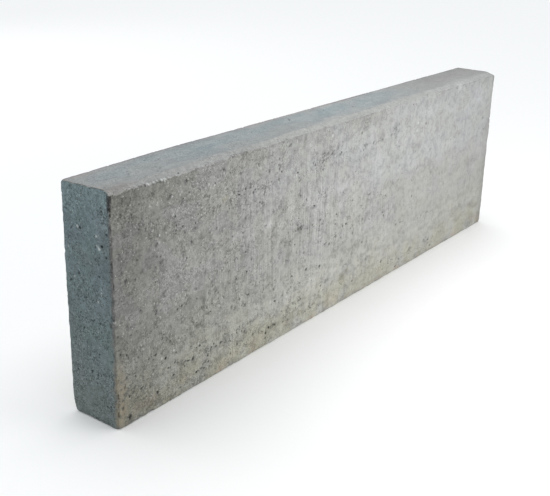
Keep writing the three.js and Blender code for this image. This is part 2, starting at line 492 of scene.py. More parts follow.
void = np.zeros(len(P))  # depth of the open voids
crowd = np.zeros(len(P))  # how many of them lie around here
hollow = np.zeros(len(P))  # the darkest single voids
grain = np.zeros(len(P))  # the palest single grains
on = {
    "front": J == 0,
    "back": J == ny - 1,
    "base": K == 0,
    "top": K == nz - 1,
    "left": I == 0,
    "right": I == nx - 1,
}
for name, (ax, sign, a, b) in {
    "front": (1, 1, I, K),
    "back": (1, -1, I, K),
    "base": (2, 1, I, J),
    "top": (2, -1, I, J),
    "left": (0, 1, J, K),
    "right": (0, -1, J, K),
}.items():
    m = on[name]
    h, pits, around, dark, pale = heights[name]
    P[m, ax] += sign * h[a[m], b[m]]
    void[m] = np.maximum(void[m], pits[a[m], b[m]])
    crowd[m] = np.maximum(crowd[m], around[a[m], b[m]])
    hollow[m] = np.maximum(hollow[m], dark[a[m], b[m]])
    grain[m] = np.maximum(grain[m], pale[a[m], b[m]])

# ------------------------------------------------------------------ splay and arrises

broken = np.zeros(len(P))  # 1 where the cast skin has come away


def carve_plane(mask, g, n, soft, tell=0.0):
    """Moves vertices with g > 0 (millimetres outside a plane) inwards along n, with a soft crease."""
    d = g[mask]
    move = 0.5 * (d + np.sqrt(d * d + soft * soft)) - 0.5 * (
        -5.0 + math.sqrt(25.0 + soft * soft)
    )
    move = np.clip(move, 0, None)
    P[mask] += move[:, None] * n
    if tell:
        broken[mask] = np.maximum(broken[mask], smooth(0.1, 0.8, d) * tell)


# splay along the top front edge; its heel wanders down and up, most near the left end, and drops where
# the near corner has spalled
HEEL = (
    (0, 5.4), (4, 5.8), (10, 7.2), (17, 7.4), (22, 6.0), (28, 5.4), (34, 4.8), (40, 6.4), (46, 5.8),
    (52, 4.2), (58, 6.0), (64, 7.7), (70, 6.8), (76, 5.9), (82, 7.0), (88, 7.8), (94, 5.9), (100, 7.8),
    (106, 5.7), (112, 7.9), (120, 6.3), (140, 6.6), (160, 6.1), (180, 6.0), (205, 4.9), (240, 4.1),
    (262, 4.4), (285, 5.3), (305, 4.8), (340, 4.6), (400, 4.3), (480, 4.8), (540, 4.4), (700, 4.0),
    (1000, 3.8),
)


def heel_depth(s):
    """How far below the top the splay ends on the front, along the block."""
    s = np.asarray(s, float)
    line = np.interp(s, *np.array(HEEL).T)
    wander = 0.18 + 0.34 * smooth(105, 150, s) * (1 - smooth(380, 620, s))
    return line + wander * Line(62, 7)(s) + (0.10 + 0.28 * (1 - smooth(80, 480, s))) * Line(63, 2.6)(s)


u, v = P[:, 1], H - P[:, 2]
near = (u < 26) & (v < 18)
s = P[near, 0]
across = SPLAY_ACROSS * (
    (1 + 0.05 * Line(61, 60)(s))
    * (0.62 + 0.36 * smooth(0, 26, s) + 0.16 * smooth(200, 1000, s) + 0.30 * smooth(955, 1000, s))
)
down = np.clip(heel_depth(s) + 1.1 * smooth(960, 1000, s), 2.0, 10.0)
slope = np.hypot(1 / across, 1 / down)
g = np.full(len(P), -9.0)
g[near] = (1 - u[near] / across - v[near] / down) / slope
n = np.stack([0 * s, 1 / across / slope, -1 / down / slope], 1)
carve_plane(near, g, n, 0.30)
splay_skin = smooth(-0.35, 0.15, g)


def carve_arris(side_u, side_v, along, radius, crumble, spalls, seed, limit=15.0):
    """Rounds the edge where two faces meet, nibbles it, and breaks the listed spalls out of it.
    A side is (axis, sign, offset): depth under that face is sign * (coordinate - offset)."""
    (au, su, ou), (av, sv, ov) = side_u, side_v
    u, v = su * (P[:, au] - ou), sv * (P[:, av] - ov)
    m = (u < limit) & (v < limit)
    u, v, s = u[m], v[m], P[m, along]
    t, w = u - v, u + v
    r = np.clip(
        radius * (1 + 0.22 * Line(seed, 40)(s) + 0.16 * Line(seed + 1, 7)(s)), 0.4, None
    )
    inside = np.abs(t) < r
    target = np.where(
        inside, 2 * r - np.sqrt(np.clip(2 * r * r - t * t, 0, None)), np.abs(t)
    )
    # nibbles: short runs where grains have gone
    run = Line(seed + 2, 3.4)(s) + 0.6 * Line(seed + 3, 22)(s)
    bite = crumble * np.clip(run - 0.55, 0, 2.2) * 1.5
    grit = Field(seed + 4, 2.0, 1.6, size=(1040.0, 64.0), step=0.8)(s, t + 32)
    chip = np.where(bite > 0.05, bite + 0.28 * grit * np.minimum(1, bite), -1.0)
    # spalls: shell-shaped flakes
    for s0, size, half, lean in spalls:
        q = np.clip(1 - ((s - s0) / half) ** 2, 0, 1)
        shell = size * np.sqrt(q) + lean * t * 0.5 + 0.35 * grit
        chip = np.maximum(chip, np.where(q > 0, shell, -1.0))
    extra = np.clip(chip - np.maximum(target, w), 0, None)
    new = np.maximum(np.maximum(target, chip), w)
    d = (new - w) / 2
    P[m, au] += su * d
    P[m, av] += sv * d
    broken[m] = np.maximum(broken[m], smooth(0.15, 0.9, extra))


def spread(seed, n, length, small, large, hold=10.0):
    """A few random spalls along an edge."""
    rng = np.random.default_rng(seed)
    s0 = rng.uniform(hold, length - hold, n)
    size = small + (large - small) * rng.power(0.45, n)
    half = size * rng.uniform(1.2, 2.6, n)
    return list(zip(s0, size, half, rng.uniform(-0.5, 0.5, n)))


FRONT, BACK = (1, 1, 0.0), (1, -1, W)
BASE, TOP = (2, 1, 0.0), (2, -1, H)
LEFT, RIGHT = (0, 1, 0.0), (0, -1, L)

# long edges
carve_arris(
    FRONT, BASE, 0, 2.6, 0.9, spread(71, 9, L, 2.0, 4.5) + [(38, 3.6, 4.5, 0.3)], 700
)
carve_arris(BACK, BASE, 0, 2.8, 1.1, spread(72, 12, L, 2.0, 6.0), 710)
carve_arris(BACK, TOP, 0, 1.5, 0.7, spread(73, 8, L, 1.5, 3.5), 720)
# heel of the splay: nibbled and slightly broken, mostly near the left end
HEEL_SPALLS = [
    (31, 1.6, 2.2, 0.0),
    (40, 2.2, 2.6, 0.2),
    (53, 2.4, 2.8, -0.2),
    (60, 2.6, 2.2, 0.0),
    (66, 2.3, 2.4, 0.1),
    (74, 2.0, 2.0, 0.0),
    (88, 1.8, 2.4, 0.0),
    (101, 1.6, 2.2, 0.0),
    (121, 1.7, 3.0, 0.2),
    (140, 1.5, 2.4, 0.1),
    (228, 1.5, 3.0, 0.0),
    (316, 1.3, 2.6, 0.1),
    (471, 1.4, 3.4, 0.0),
    (690, 1.5, 3.0, 0.0),
]
d1 = P[near, 1]
d2 = (d1 / across + (H - P[near, 2]) / down - 1) / slope
m = near.copy()
m[near] = (d1 < 8) & (np.abs(d2) < 8) & (H - P[near, 2] < 15)
pick = m[near]
into = n[pick] + np.array([0.0, 1.0, 0.0])
into /= np.linalg.norm(into, axis=1)[:, None]
open_half = into[:, 1]
s, t, sum12 = P[m, 0], (d1 - d2)[pick], (d1 + d2)[pick]
ragged = (0.32 + 0.62 * (1 - smooth(200, 560, s))) * smooth(16, 30, s) + 0.25 * hump(s, 68, 26)
run = Line(733, 2.6)(s) + 0.5 * Line(734, 20)(s)
bite = 1.15 * ragged * np.clip(run - 0.35, 0, 2.0)
grit = Field(735, 2.0, 1.6, size=(1040.0, 64.0), step=0.8)(s, t + 32)
r = 1.1 * (1 + 0.25 * Line(731, 30)(s))
target = np.where(
    np.abs(t) < r, 2 * r - np.sqrt(np.clip(2 * r * r - t * t, 0, None)), np.abs(t)
)
chip = np.where(bite > 0.05, bite + 0.3 * grit * np.minimum(1, bite), -1.0)
for s0, size, half, lean in HEEL_SPALLS:
    q = np.clip(1 - ((s - s0) / half) ** 2, 0, 1)
    chip = np.maximum(
        chip, np.where(q > 0, size * np.sqrt(q) + lean * t * 0.5 + 0.35 * grit, -1.0)
    )
extra = np.clip(chip - np.maximum(target, sum12), 0, None)
new = np.maximum(np.maximum(target, chip), sum12)
P[m] += ((new - sum12) / (2 * open_half))[:, None] * into
broken[m] = np.maximum(broken[m], smooth(0.15, 0.9, extra))

# upright edges
carve_arris(
    FRONT,
    LEFT,
    2,
    1.5,
    0.85,
    [
        (283, 3.4, 7.0, -0.3),
        (268, 2.6, 9.0, -0.2),
        (243, 1.8, 5.0, 0.0),
        (217, 2.0, 4.5, 0.2),
        (186, 1.7, 3.6, 0.1),
        (136, 3.2, 1.8, 0.1),
        (39, 2.2, 3.0, 0.2),
        (28, 2.4, 3.6, 0.1),
        (17, 1.6, 2.6, 0.0),
    ],
    740,
)
carve_arris(
    BACK, LEFT, 2, 2.2, 0.7, [(212, 2.0, 4.0, 0.1), (96, 2.6, 5.0, -0.2)], 750
)
carve_arris(FRONT, RIGHT, 2, 3.4, 0.6, spread(76, 4, H, 1.6, 3.2), 760)
carve_arris(BACK, RIGHT, 2, 1.1, 1.0, spread(77, 6, H, 2.0, 5.0, 30.0), 770)

# the flash line beside the front left arris: a crevice, deep near the top and fading downwards
CREVICE = [
    (289, 4.5, 1.5, 2.4, 1.1),
    (280, 5.0, 1.5, 3.2, 1.3),
    (268, 6.5, 1.1, 2.0, 0.9),
    (255, 6.5, 1.1, 1.4, 0.7),
    (241, 5.0, 1.0, 1.6, 0.75),
    (228, 6.0, 1.1, 1.5, 0.7),
    (213, 6.0, 0.9, 1.7, 0.8),
    (200, 5.0, 0.9, 1.3, 0.7),
    (187, 6.0, 1.0, 1.5, 0.7),
    (168, 7.0, 0.8, 1.0, 0.7),
    (150, 5.0, 0.9, 1.2, 0.7),
    (137, 2.6, 0.6, 3.0, 1.2),
    (118, 4.0, 0.8, 1.1, 0.7),
    (45, 4.0, 1.2, 2.2, 1.0),
    (33, 3.5, 1.0, 2.0, 1.0),
    (21, 4.0, 1.6, 2.4, 1.1),
]
m = (P[:, 0] < 9) & (P[:, 1] < 9)
x_m, y_m, z_m = P[m].T
axis_x = 1.5 + 0.5 * Line(745, 12)(z_m)
for z0, half, x_off, depth, width in CREVICE:
    run = np.clip(1 - ((z_m - z0) / half) ** 2, 0, 1)
    off = (x_m - axis_x - x_off + 1.2) / width
    cut = depth * np.sqrt(run) * np.clip(1 - off**2, 0, 1) * (1 - smooth(2.5, 7.0, y_m))
    P[m, 1] += cut
    # the crevice's depth also goes into the void depth, which sets the painted shade in it
    void[m] = np.maximum(void[m], 1.2 * cut)

# short edges across the width
carve_arris(LEFT, TOP, 1, 1.3, 0.9, [(60, 2.0, 4.0, 0.2), (34, 1.6, 4.0, 0.0)], 780)
carve_arris(RIGHT, TOP, 1, 0.9, 0.5, [(38, 1.4, 3.0, 0.1)], 790)
carve_arris(LEFT, BASE, 1, 2.6, 0.8, [(30, 2.4, 4.0, 0.1)], 800)
carve_arris(RIGHT, BASE, 1, 2.4, 0.9, [(14, 3.4, 5.0, 0.1), (60, 2.4, 4.0, 0.0)], 810)

# ------------------------------------------------------------------ corners


def carve_corner(corner, legs, soft, grit, seed, tell=1.0):
    """Takes a box corner off along the plane through its three legs (mm along x, y, z)."""
    a = np.abs(P - np.array(corner))
    g = np.array([1 / legs[0], 1 / legs[1], 1 / legs[2]])
    size = np.linalg.norm(g)
    rough = Field(seed, 2.4, 2.4, size=(64.0, 64.0), step=0.8)(
        a[:, 0] + a[:, 2] * 0.7, a[:, 1] + a[:, 2] * 0.7
    )
    bulge = 0.9 * np.clip(1 - np.abs(a @ g - 1) * 1.2, 0, 1)
    outside = (1 - a @ g) / size + grit * rough - 0.25 * bulge
    m = (a < np.array(legs) * 1.7 + 2).all(1)
    inward = (
        np.where(np.array(corner) > 1, -1.0, 1.0) * g / size
    )  # each box corner is at 0 or at the far side
    carve_plane(m, outside, inward, soft, tell)


# the broken bottom back corner at the left end
carve_corner((0.0, W, 0.0), (22.0, 7.4, 17.0), 0.9, 0.3, 901)
carve_corner((0.0, W, 0.0), (26.0, 5.0, 30.0), 0.9, 0.25, 902)
# the others are only worn
carve_corner((0.0, 0.0, 0.0), (6.0, 5.5, 6.5), 1.6, 0.15, 903, 0.4)
carve_corner((L, 0.0, 0.0), (5.0, 5.0, 5.0), 1.4, 0.15, 904, 0.4)
carve_corner((L, W, 0.0), (7.0, 6.0, 9.0), 1.4, 0.25, 905, 0.7)
carve_corner((0.0, W, H), (3.6, 3.6, 3.0), 1.2, 0.12, 906, 0.2)
carve_corner((L, W, H), (1.0, 1.2, 1.0), 0.5, 0.08, 907, 0.2)
carve_corner((L, 0.0, H), (13.0, 20.0, 6.4), 1.0, 0.12, 908, 0.0)

# ------------------------------------------------------------------ overall form

x, y, z = P[:, 0].copy(), P[:, 1].copy(), P[:, 2].copy()
rise = z / H
# the mould faces lean in slightly towards the top
P[:, 1] += DRAFT_FRONT * rise * (1 - y / W) - DRAFT_BACK * rise * (y / W)
# the struck top dips towards the left end, most at the back
dip = 2.7 * np.clip(1 - x / 176.0, 0, 1) ** 1.1 * (0.12 + 0.88 * (np.clip(y, 0, W) / W) ** 1.6)
P[:, 2] -= dip * smooth(0.82, 1.0, rise)
P[:, 2] = np.maximum(P[:, 2], 0.0)

# which skin each vertex belongs to
on_top = (K == nz - 1) & (x > 1.0) & (x < L - 1.0)
on_splay = splay_skin * smooth(0.3, 1.2, x) * smooth(0.3, 1.2, L - x)
below = np.clip(H - z - heel_depth(x), -12.0, 60.0)  # how far under the heel of the splay
on_end = ((I == 0) | (I == nx - 1)) & ~(K == nz - 1)
wrap = 1.6 * smooth(278, 236, z) * smooth(60, 0, x)  # the front's skin runs round the left arris
on_end = on_end * smooth(0.3, 2.8, y - wrap)
MARKS = {
    "void": void,
    "crowd": crowd,
    "hollow": hollow,
    "grain": grain,
    "broken": broken,
    "skin_top": on_top.astype(float),
    "skin_end": on_end.astype(float),
    "splay": on_splay,
    "below": below,
}

# ------------------------------------------------------------------ mesh


def mesh_from(name, points, faces):
    me = bpy.data.meshes.new(name)
    me.vertices.add(len(points))
    me.vertices.foreach_set(
        "co", ((points + ORIGIN) * 0.001).astype(np.float32).ravel()
    )
    n = faces.shape[1]
    me.loops.add(faces.size)
    me.loops.foreach_set("vertex_index", faces.astype(np.int32).ravel())
    me.polygons.add(len(faces))
    me.polygons.foreach_set(
        "loop_start", np.arange(0, faces.size, n, dtype=np.int32)
    )
    me.update(calc_edges=True)
    return me


def link(name, me):
    ob = bpy.data.objects.new(name, me)
    bpy.context.scene.collection.objects.link(ob)
    return ob


print("lattice", len(P), "vertices", 2 * len(QUADS), "triangles", round(time.time() - T0, 1), "s")
tri = np.concatenate([QUADS[:, [0, 1, 2]], QUADS[:, [0, 2, 3]]])
me = mesh_from("kerb_concrete", P, tri)
for name, values in MARKS.items():
    me.attributes.new(name, "FLOAT", "POINT").data.foreach_set(
        "value", values.astype(np.float32)
    )
kerb = link("kerb_concrete", me)
thin = kerb.modifiers.new("thin", "DECIMATE")
thin.decimate_type = "COLLAPSE"
thin.ratio = TRIANGLES / len(tri)
bpy.context.view_layer.objects.active = kerb
kerb.select_set(True)
bpy.ops.object.modifier_apply(modifier=thin.name)
me = kerb.data
print("thinned", len(me.vertices), "vertices", len(me.polygons), "faces", round(time.time() - T0, 1), "s")

# ------------------------------------------------------------------ shading normals

me.shade_smooth()
me.set_sharp_from_angle(angle=math.radians(34))

# ------------------------------------------------------------------ material


class Web:
    """Short ways to add and join the nodes of one material."""

    def __init__(self, name):
        self.mat = bpy.data.materials.new(name)
        self.mat.use_nodes = True
        self.nt = self.mat.node_tree
        self.nt.nodes.clear()

    def node(self, kind, **props):
        n = self.nt.nodes.new("ShaderNode" + kind)
        for k, v in props.items():
            setattr(n, k, v)
        return n

    def feed(self, socket, value):
        if isinstance(value, bpy.types.NodeSocket):
            self.nt.links.new(value, socket)
        elif isinstance(value, (tuple, list)) and len(value) == 3 and socket.type == "RGBA":
            socket.default_value = (*value, 1.0)
        else:
            socket.default_value = value

    def math(self, op, a, b=0.0, c=None):
        n = self.node("Math", operation=op)
        self.feed(n.inputs[0], a)
        self.feed(n.inputs[1], b)
        if c is not None:
            self.feed(n.inputs[2], c)
        return n.outputs[0]

    def add(self, *terms):
        total = terms[0]
        for t in terms[1:]:
            total = self.math("ADD", total, t)
        return total

    def total(self, leaves):
        """Sum of many terms, each one added as soon as it is made, so that few values are open at once."""
        run = None
        for leaf in leaves:
            run = leaf if run is None else self.math("ADD", run, leaf)
        return run

    def mul(self, *terms):
        total = terms[0]
        for t in terms[1:]:
            total = self.math("MULTIPLY", total, t)
        return total

    def around(self, x, gain, centre=0.5):
        """gain * (x - centre)"""
        return self.math("MULTIPLY_ADD", x, gain, -gain * centre)

    def ease(self, x, a, b, lo=0.0, hi=1.0, kind="SMOOTHSTEP"):
        """From lo to hi as x goes from a to b, and level outside."""
        n = self.node("MapRange", interpolation_type=kind, clamp=False)
        for i, v in enumerate((x, a, b, lo, hi)):
            self.feed(n.inputs[i], v)
        if kind != "LINEAR":
            return n.outputs[0]
        level = self.node("Clamp", clamp_type="RANGE")
        for i, v in enumerate((n.outputs[0], lo, hi)):
            self.feed(level.inputs[i], v)
        return level.outputs[0]

    def hump(self, x, centre, half):
        off = self.math("ABSOLUTE", self.math("SUBTRACT", x, centre))
        return self.ease(off, 0.0, half, 1.0, 0.0)

    def mix(self, fac, a, b, how="MIX"):
        n = self.node("Mix", data_type="RGBA", blend_type=how)
        self.feed(n.inputs["Factor"], fac)
        self.feed(n.inputs[6], a)
        self.feed(n.inputs[7], b)
        return n.outputs[2]

    def stretch(self, vec, sx, sy, sz, shift=(0.0, 0.0, 0.0)):
        n = self.node("Mapping", vector_type="POINT")
        self.feed(n.inputs["Vector"], vec)
        n.inputs["Location"].default_value = shift
        n.inputs["Scale"].default_value = (sx, sy, sz)
        return n.outputs[0]

    def noise(self, vec, scale=1.0, detail=2.0, rough=0.5, distort=0.0):
        n = self.node("TexNoise", noise_dimensions="3D")
        self.feed(n.inputs["Vector"], vec)
        n.inputs["Scale"].default_value = scale
        n.inputs["Detail"].default_value = detail
        n.inputs["Roughness"].default_value = rough
        n.inputs["Distortion"].default_value = distort
        return n.outputs["Fac"]

    def cells(self, vec, scale, rand=1.0):
        """(distance to the nearest cell's point, that cell's own random numbers)"""
        n = self.node("TexVoronoi", feature="F1")
        self.feed(n.inputs["Vector"], vec)
        n.inputs["Scale"].default_value = scale
        n.inputs["Randomness"].default_value = rand
        split = self.node("SeparateColor")
        self.feed(split.inputs[0], n.outputs["Color"])
        return n.outputs["Distance"], split.outputs

    def attribute(self, name):
        return self.node(
            "Attribute", attribute_type="GEOMETRY", attribute_name=name
        ).outputs["Fac"]


w = Web("cast_concrete")


def times(colour, value):
    n = w.node("CombineColor")
    for i in range(3):
        w.feed(n.inputs[i], value)
    return w.mix(1.0, colour, n.outputs[0], "MULTIPLY")


def as_vector(colour):
    apart, joined = w.node("SeparateColor"), w.node("CombineXYZ")
    w.feed(apart.inputs[0], colour)
    for i in range(3):
        w.feed(joined.inputs[i], apart.outputs[i])
    return joined.outputs[0]


P3 = w.node("TexCoord").outputs["Object"]
sep = w.node("SeparateXYZ")
w.feed(sep.inputs[0], P3)
X, Y, Z = sep.outputs

void_a = w.attribute("void")
crowd_a = w.attribute("crowd")
broken_a = w.attribute("broken")
top_a = w.attribute("skin_top")
end_a = w.attribute("skin_end")
splay_a = w.attribute("splay")
below_a = w.attribute("below")
hollow_a = w.attribute("hollow")
grain_a = w.attribute("grain")

# how far along the block: 0 at the left end, 1 over the right half
along = w.math("POWER", w.ease(X, -0.50, 0.02, kind="LINEAR"), 0.85)
# the skin is rougher to the left, most of all in its finest grain
coarse = w.ease(X, -0.50, 0.50, 1.20, 0.55, "LINEAR")
sharp = w.mul(
    w.ease(X, -0.50, 0.02, 1.78, 0.80, "LINEAR"),
    w.ease(Z, 0.125, 0.185, 0.84, 1.0),
    w.ease(X, 0.12, 0.36, 1.0, 0.76),
)

n_patch = w.noise(w.stretch(P3, 9.0, 9.0, 14.0), detail=3, rough=0.55)
n_mottle = w.noise(P3, 46.0, 3, 0.6)
n_blot = w.noise(P3, 120.0, 3, 0.62)
n_grain = w.noise(P3, 420.0, 2, 0.6)
n_fine = w.noise(P3, 1050.0, 1, 0.5)
n_streak = w.noise(w.stretch(P3, 450.0, 450.0, 14.0), detail=2, rough=0.5)
n_wide = w.noise(w.stretch(P3, 150.0, 150.0, 7.0, (3.1, 1.7, 0.4)), detail=2, rough=0.5)
n_bands = w.noise(w.stretch(P3, 5.0, 5.0, 44.0, (0.0, 0.0, 7.3)), detail=2, rough=0.5)
n_where = w.noise(P3, 16.0, 2, 0.5)
n_hue = w.noise(w.stretch(P3, 19.0, 19.0, 23.0, (5.2, 0.7, 1.9)), detail=1, rough=0.5)
n_shut = w.noise(w.stretch(P3, 34.0, 34.0, 44.0, (0.6, 3.3, 8.1)), detail=3, rough=0.6)
sand_r = w.cells(P3, 480.0)[1]

# where the stiff mix stayed open against the mould, in patches and level rows, and where its paste closed
thronged = w.ease(crowd_a, 0.03, 0.42)
low = w.ease(Z, 0.0, 0.085, 1.0, 0.0)
unshut = w.ease(
    w.add(
        n_shut,
        w.around(n_bands, 0.45),
        w.mul(thronged, 0.22),
        w.mul(low, 0.05),
        w.ease(X, -0.5, 0.5, 0.05, -0.03, "LINEAR"),
    ),
    0.40,
    0.68,
)
gritty = w.add(0.55, w.mul(unshut, 0.85))
lower_right = w.mul(w.ease(X, 0.04, 0.18), w.ease(Z, 0.20, 0.13))
cloud = w.mul(
    w.ease(X, -0.5, 0.5, 1.40, 0.95, "LINEAR"),
    w.math("SUBTRACT", 1.0, w.mul(lower_right, 0.26)),
    w.ease(X, 0.26, 0.40, 1.0, 0.90),
)

# the same place nudged a little, so that grains and pores are not round
n_nudge = w.node("TexNoise", noise_dimensions="3D")
w.feed(n_nudge.inputs["Vector"], P3)
n_nudge.inputs["Scale"].default_value = 620.0
n_nudge.inputs["Detail"].default_value = 1.0
nudge = w.node("VectorMath", operation="MULTIPLY_ADD")
jitter = as_vector(n_nudge.outputs["Color"])
w.feed(nudge.inputs[0], jitter)
nudge.inputs[1].default_value = (0.0022, 0.0022, 0.0022)
w.feed(nudge.inputs[2], P3)
PN = nudge.outputs[0]


def dots(scale, shift, small, large, amount):
    """Scattered spots, one to a cell at most: `amount` of the cells have one, small to large cells in radius."""
    d, r = w.cells(w.stretch(PN, 1.0, 1.0, 1.0, shift), scale)
    size = w.ease(r[1], 0.0, 1.0, small, large, "LINEAR")
    spot = w.ease(w.math("DIVIDE", d, size), 1.0, 0.55)
    return w.mul(spot, w.math("GREATER_THAN", w.add(r[0], amount), 1.0))


def shaded_hollows(scale, shift, small, large, amount):
    """The same with soft edges and of mixed strength: painted shade of shallow hollows in the skin."""
    d, r = w.cells(w.stretch(PN, 1.0, 1.0, 1.25, shift), scale)
    size = w.ease(r[1], 0.0, 1.0, small, large, "LINEAR")
    spot = w.ease(w.math("DIVIDE", d, size), 1.0, 0.1)
    return w.mul(spot, w.add(0.45, w.mul(r[2], 0.55)), w.math("GREATER_THAN", w.add(r[0], amount), 1.0))


# single soft stains of the front, dark and pale, and yellow ones along its foot:
# x, z from the left bottom corner and radius (mm), strength
STAINS = (
    (6, 36, 13, -0.26), (12, 96, 8, -0.17), (22, 60, 8, 0.16), (24, 4, 8, -0.28), (38, 35, 10, -0.19),
    (68, 134, 8, -0.18), (74, 54, 8, 0.23), (80, 96, 8, 0.19), (90, 4, 8, -0.26), (98, 76, 8, -0.16),
    (110, 96, 13, 0.15), (112, 30, 8, 0.16), (122, 64, 8, 0.19), (124, 206, 8, 0.17), (132, 42, 8, -0.20),
    (146, 4, 8, -0.24), (152, 18, 8, -0.22), (162, 60, 8, 0.17), (220, 66, 13, 0.15), (234, 16, 8, 0.17),
    (244, 40, 9, -0.26), (262, 128, 8, 0.17), (270, 66, 13, 0.16), (292, 24, 9, -0.27), (292, 188, 9, 0.24),
    (336, 42, 9, -0.23), (350, 192, 13, 0.16), (362, 160, 9, -0.18), (374, 4, 8, -0.18), (402, 66, 19, 0.11),
    (457, 257, 8, -0.20), (462, 64, 28, 0.08), (474, 198, 19, 0.10), (508, 291, 14, -0.15), (586, 226, 28, 0.08),
    (590, 194, 14, 0.13), (608, 78, 20, 0.10), (660, 26, 9, -0.17),
    (14, 12, 17, -0.06), (17, 128, 18, 0.08), (182, 280, 22, 0.08), (392, 279, 26, 0.10), (748, 284, 40, 0.06),
    (944, 280, 30, 0.07), (415, 196, 60, 0.08), (212, 132, 34, 0.09), (128, 246, 34, -0.06), (546, 182, 44, -0.06),
    (800, 24, 36, 0.10), (830, 172, 52, 0.06), (270, 12, 17, 0.09), (890, 12, 24, 0.08), (752, 10, 24, 0.07),
    (548, 12, 22, 0.04), (84, 28, 12, -0.07), (356, 6, 12, -0.06),
)
SALLOW = (
    (112, 20, 13), (188, 15, 18), (254, 15, 22), (376, 20, 15), (446, 22, 22), (486, 34, 26), (504, 50, 9),
    (582, 22, 15), (696, 26, 22), (800, 18, 18), (840, 24, 26), (200, 242, 8),
)
flat = w.node("VectorMath", operation="MULTIPLY_ADD")
n_warp = w.node("TexNoise", noise_dimensions="3D")
w.feed(n_warp.inputs["Vector"], P3)
n_warp.inputs["Scale"].default_value = 70.0
n_warp.inputs["Detail"].default_value = 2.0
w.feed(flat.inputs[0], as_vector(n_warp.outputs["Color"]))
flat.inputs[1].default_value = (0.022, 0.0, 0.022)
w.feed(flat.inputs[2], w.stretch(P3, 1.0, 0.0, 1.0, (-0.011, 0.0, -0.011)))


def near_to(place, x, z, radius, strength, core=0.15):
    """`strength` at (x, z) mm on the front, gone `radius` mm away."""
    n = w.node("VectorMath", operation="DISTANCE")
    w.feed(n.inputs[0], place)
    n.inputs[1].default_value = (x / 1000.0 - 0.5, 0.0, z / 1000.0)
    return w.ease(n.outputs["Value"], radius / 1000.0, core * radius / 1000.0, 0.0, strength)


on_front = w.ease(Y, -0.020, -0.030)
stained = w.mul(w.total(near_to(flat.outputs[0], *row) for row in STAINS), on_front)
yellowed = w.math(
    "MINIMUM", w.mul(w.total(near_to(flat.outputs[0], x, z, r, 1.0) for x, z, r in SALLOW), on_front), 1.0
)

# the upper left, where the grains show most
speckled = w.mul(w.hump(X, -0.355, 0.095), w.ease(Z, 0.195, 0.235), on_front)
# ragged strip of the end beside the arris
verge = w.mul(end_a, w.ease(Y, -0.020, -0.034), w.hump(Z, 0.215, 0.080))

# the foot, where the mottle lies level
n_level = w.noise(w.stretch(P3, 34.0, 34.0, 95.0, (4.4, 0.0, 2.2)), detail=2, rough=0.55)
ankle = w.mul(w.ease(Z, 0.105, 0.050), w.ease(X, -0.46, -0.30, 0.6, 1.0))

# front and back: the mould faces
tone = w.add(
    1.0,
    w.around(n_patch, 0.34),
    w.around(n_bands, 0.26),
    w.mul(
        cloud,
        w.math("SUBTRACT", 1.0, w.mul(speckled, 0.40)),
        w.add(w.around(w.ease(n_mottle, 0.34, 0.58), 0.105, 0.70), w.around(w.ease(n_blot, 0.36, 0.56), 0.17, 0.68)),
    ),
    w.mul(
        coarse,
        sharp,
        w.add(gritty, w.mul(speckled, 0.22), w.mul(ankle, w.ease(X, -0.30, -0.10), -0.22)),
        w.add(w.around(n_grain, 0.54), w.around(n_fine, 0.34), w.around(sand_r[0], 0.17)),
    ),
)
# where the mould dragged, and where it dragged most
drawn = w.mul(w.ease(n_where, 0.40, 0.60), w.ease(Z, 0.215, 0.262, 1.0, 0.45))
plate = w.mul(w.hump(X, -0.14, 0.34), w.hump(Z, 0.172, 0.115))
# painted shade of shallow hollows in the skin, in two sizes
hollow_shade = w.math(
    "MAXIMUM",
    shaded_hollows(
        100.0,
        (0.27, 0.53, 0.71),
        0.14,
        0.30,
        w.add(0.10, w.mul(unshut, 0.22), w.mul(thronged, 0.12), w.mul(ankle, 0.05)),
    ),
    w.mul(shaded_hollows(58.0, (0.83, 0.07, 0.33), 0.10, 0.24, w.add(0.06, w.mul(unshut, 0.16))), 0.8),
)
n_pale = w.noise(w.stretch(P3, 50.0, 50.0, 40.0, (2.3, 0.0, 1.1)), detail=3, rough=0.55)
paste = w.mul(w.ease(n_pale, 0.50, 0.68), w.ease(crowd_a, 0.16, 0.03))
tone = w.add(
    tone,
    w.mul(w.around(n_streak, 0.42), w.add(drawn, w.mul(plate, 1.05)), w.ease(X, 0.04, 0.27, 1.0, 0.36)),
    w.mul(
        w.around(n_wide, 0.20),
        w.add(w.ease(X, -0.1, 0.25, 1.0, 0.25), w.mul(plate, 0.8), w.mul(w.ease(X, 0.24, 0.38), w.ease(Z, 0.04, 0.10), 0.45)),
    ),
    w.mul(paste, w.ease(X, -0.2, 0.2, 0.10, 0.05)),
    w.mul(ankle, w.around(w.ease(n_level, 0.30, 0.54), 0.17, 0.74)),
    w.mul(thronged, -0.10),
    w.mul(hollow_shade, -0.28),
    w.mul(stained, 0.8),
)
# the front paler towards the right, partly its own tone and partly painted light, since the light falls more on its
# right end
face = w.mix(along, (0.238, 0.234, 0.222), (0.384, 0.380, 0.370))
smooth_spot = w.mul(w.hump(X, 0.13, 0.13), w.hump(Z, 0.205, 0.09))
face = w.mix(w.mul(smooth_spot, 0.5), face, (0.395, 0.396, 0.386))
sallow = w.mul(low, w.ease(w.noise(P3, 21.0, 3, 0.6), 0.36, 0.62))
warm_low = w.mix(along, (0.262, 0.248, 0.205), (0.352, 0.338, 0.275))
face = w.mix(w.mul(w.math("MAXIMUM", sallow, w.mul(yellowed, 0.9)), 0.70), face, warm_low)
rusty = w.mul(w.ease(Z, 0.0, 0.035, 1.0, 0.0), w.ease(n_hue, 0.54, 0.64))
face = w.mix(w.mul(rusty, 0.55), face, w.mix(along, (0.275, 0.225, 0.185), (0.36, 0.31, 0.265)))
high = w.mul(w.ease(Z, 0.13, 0.28), w.ease(n_patch, 0.42, 0.66))
face = w.mix(w.mul(high, 0.35, along), face, (0.345, 0.360, 0.362))
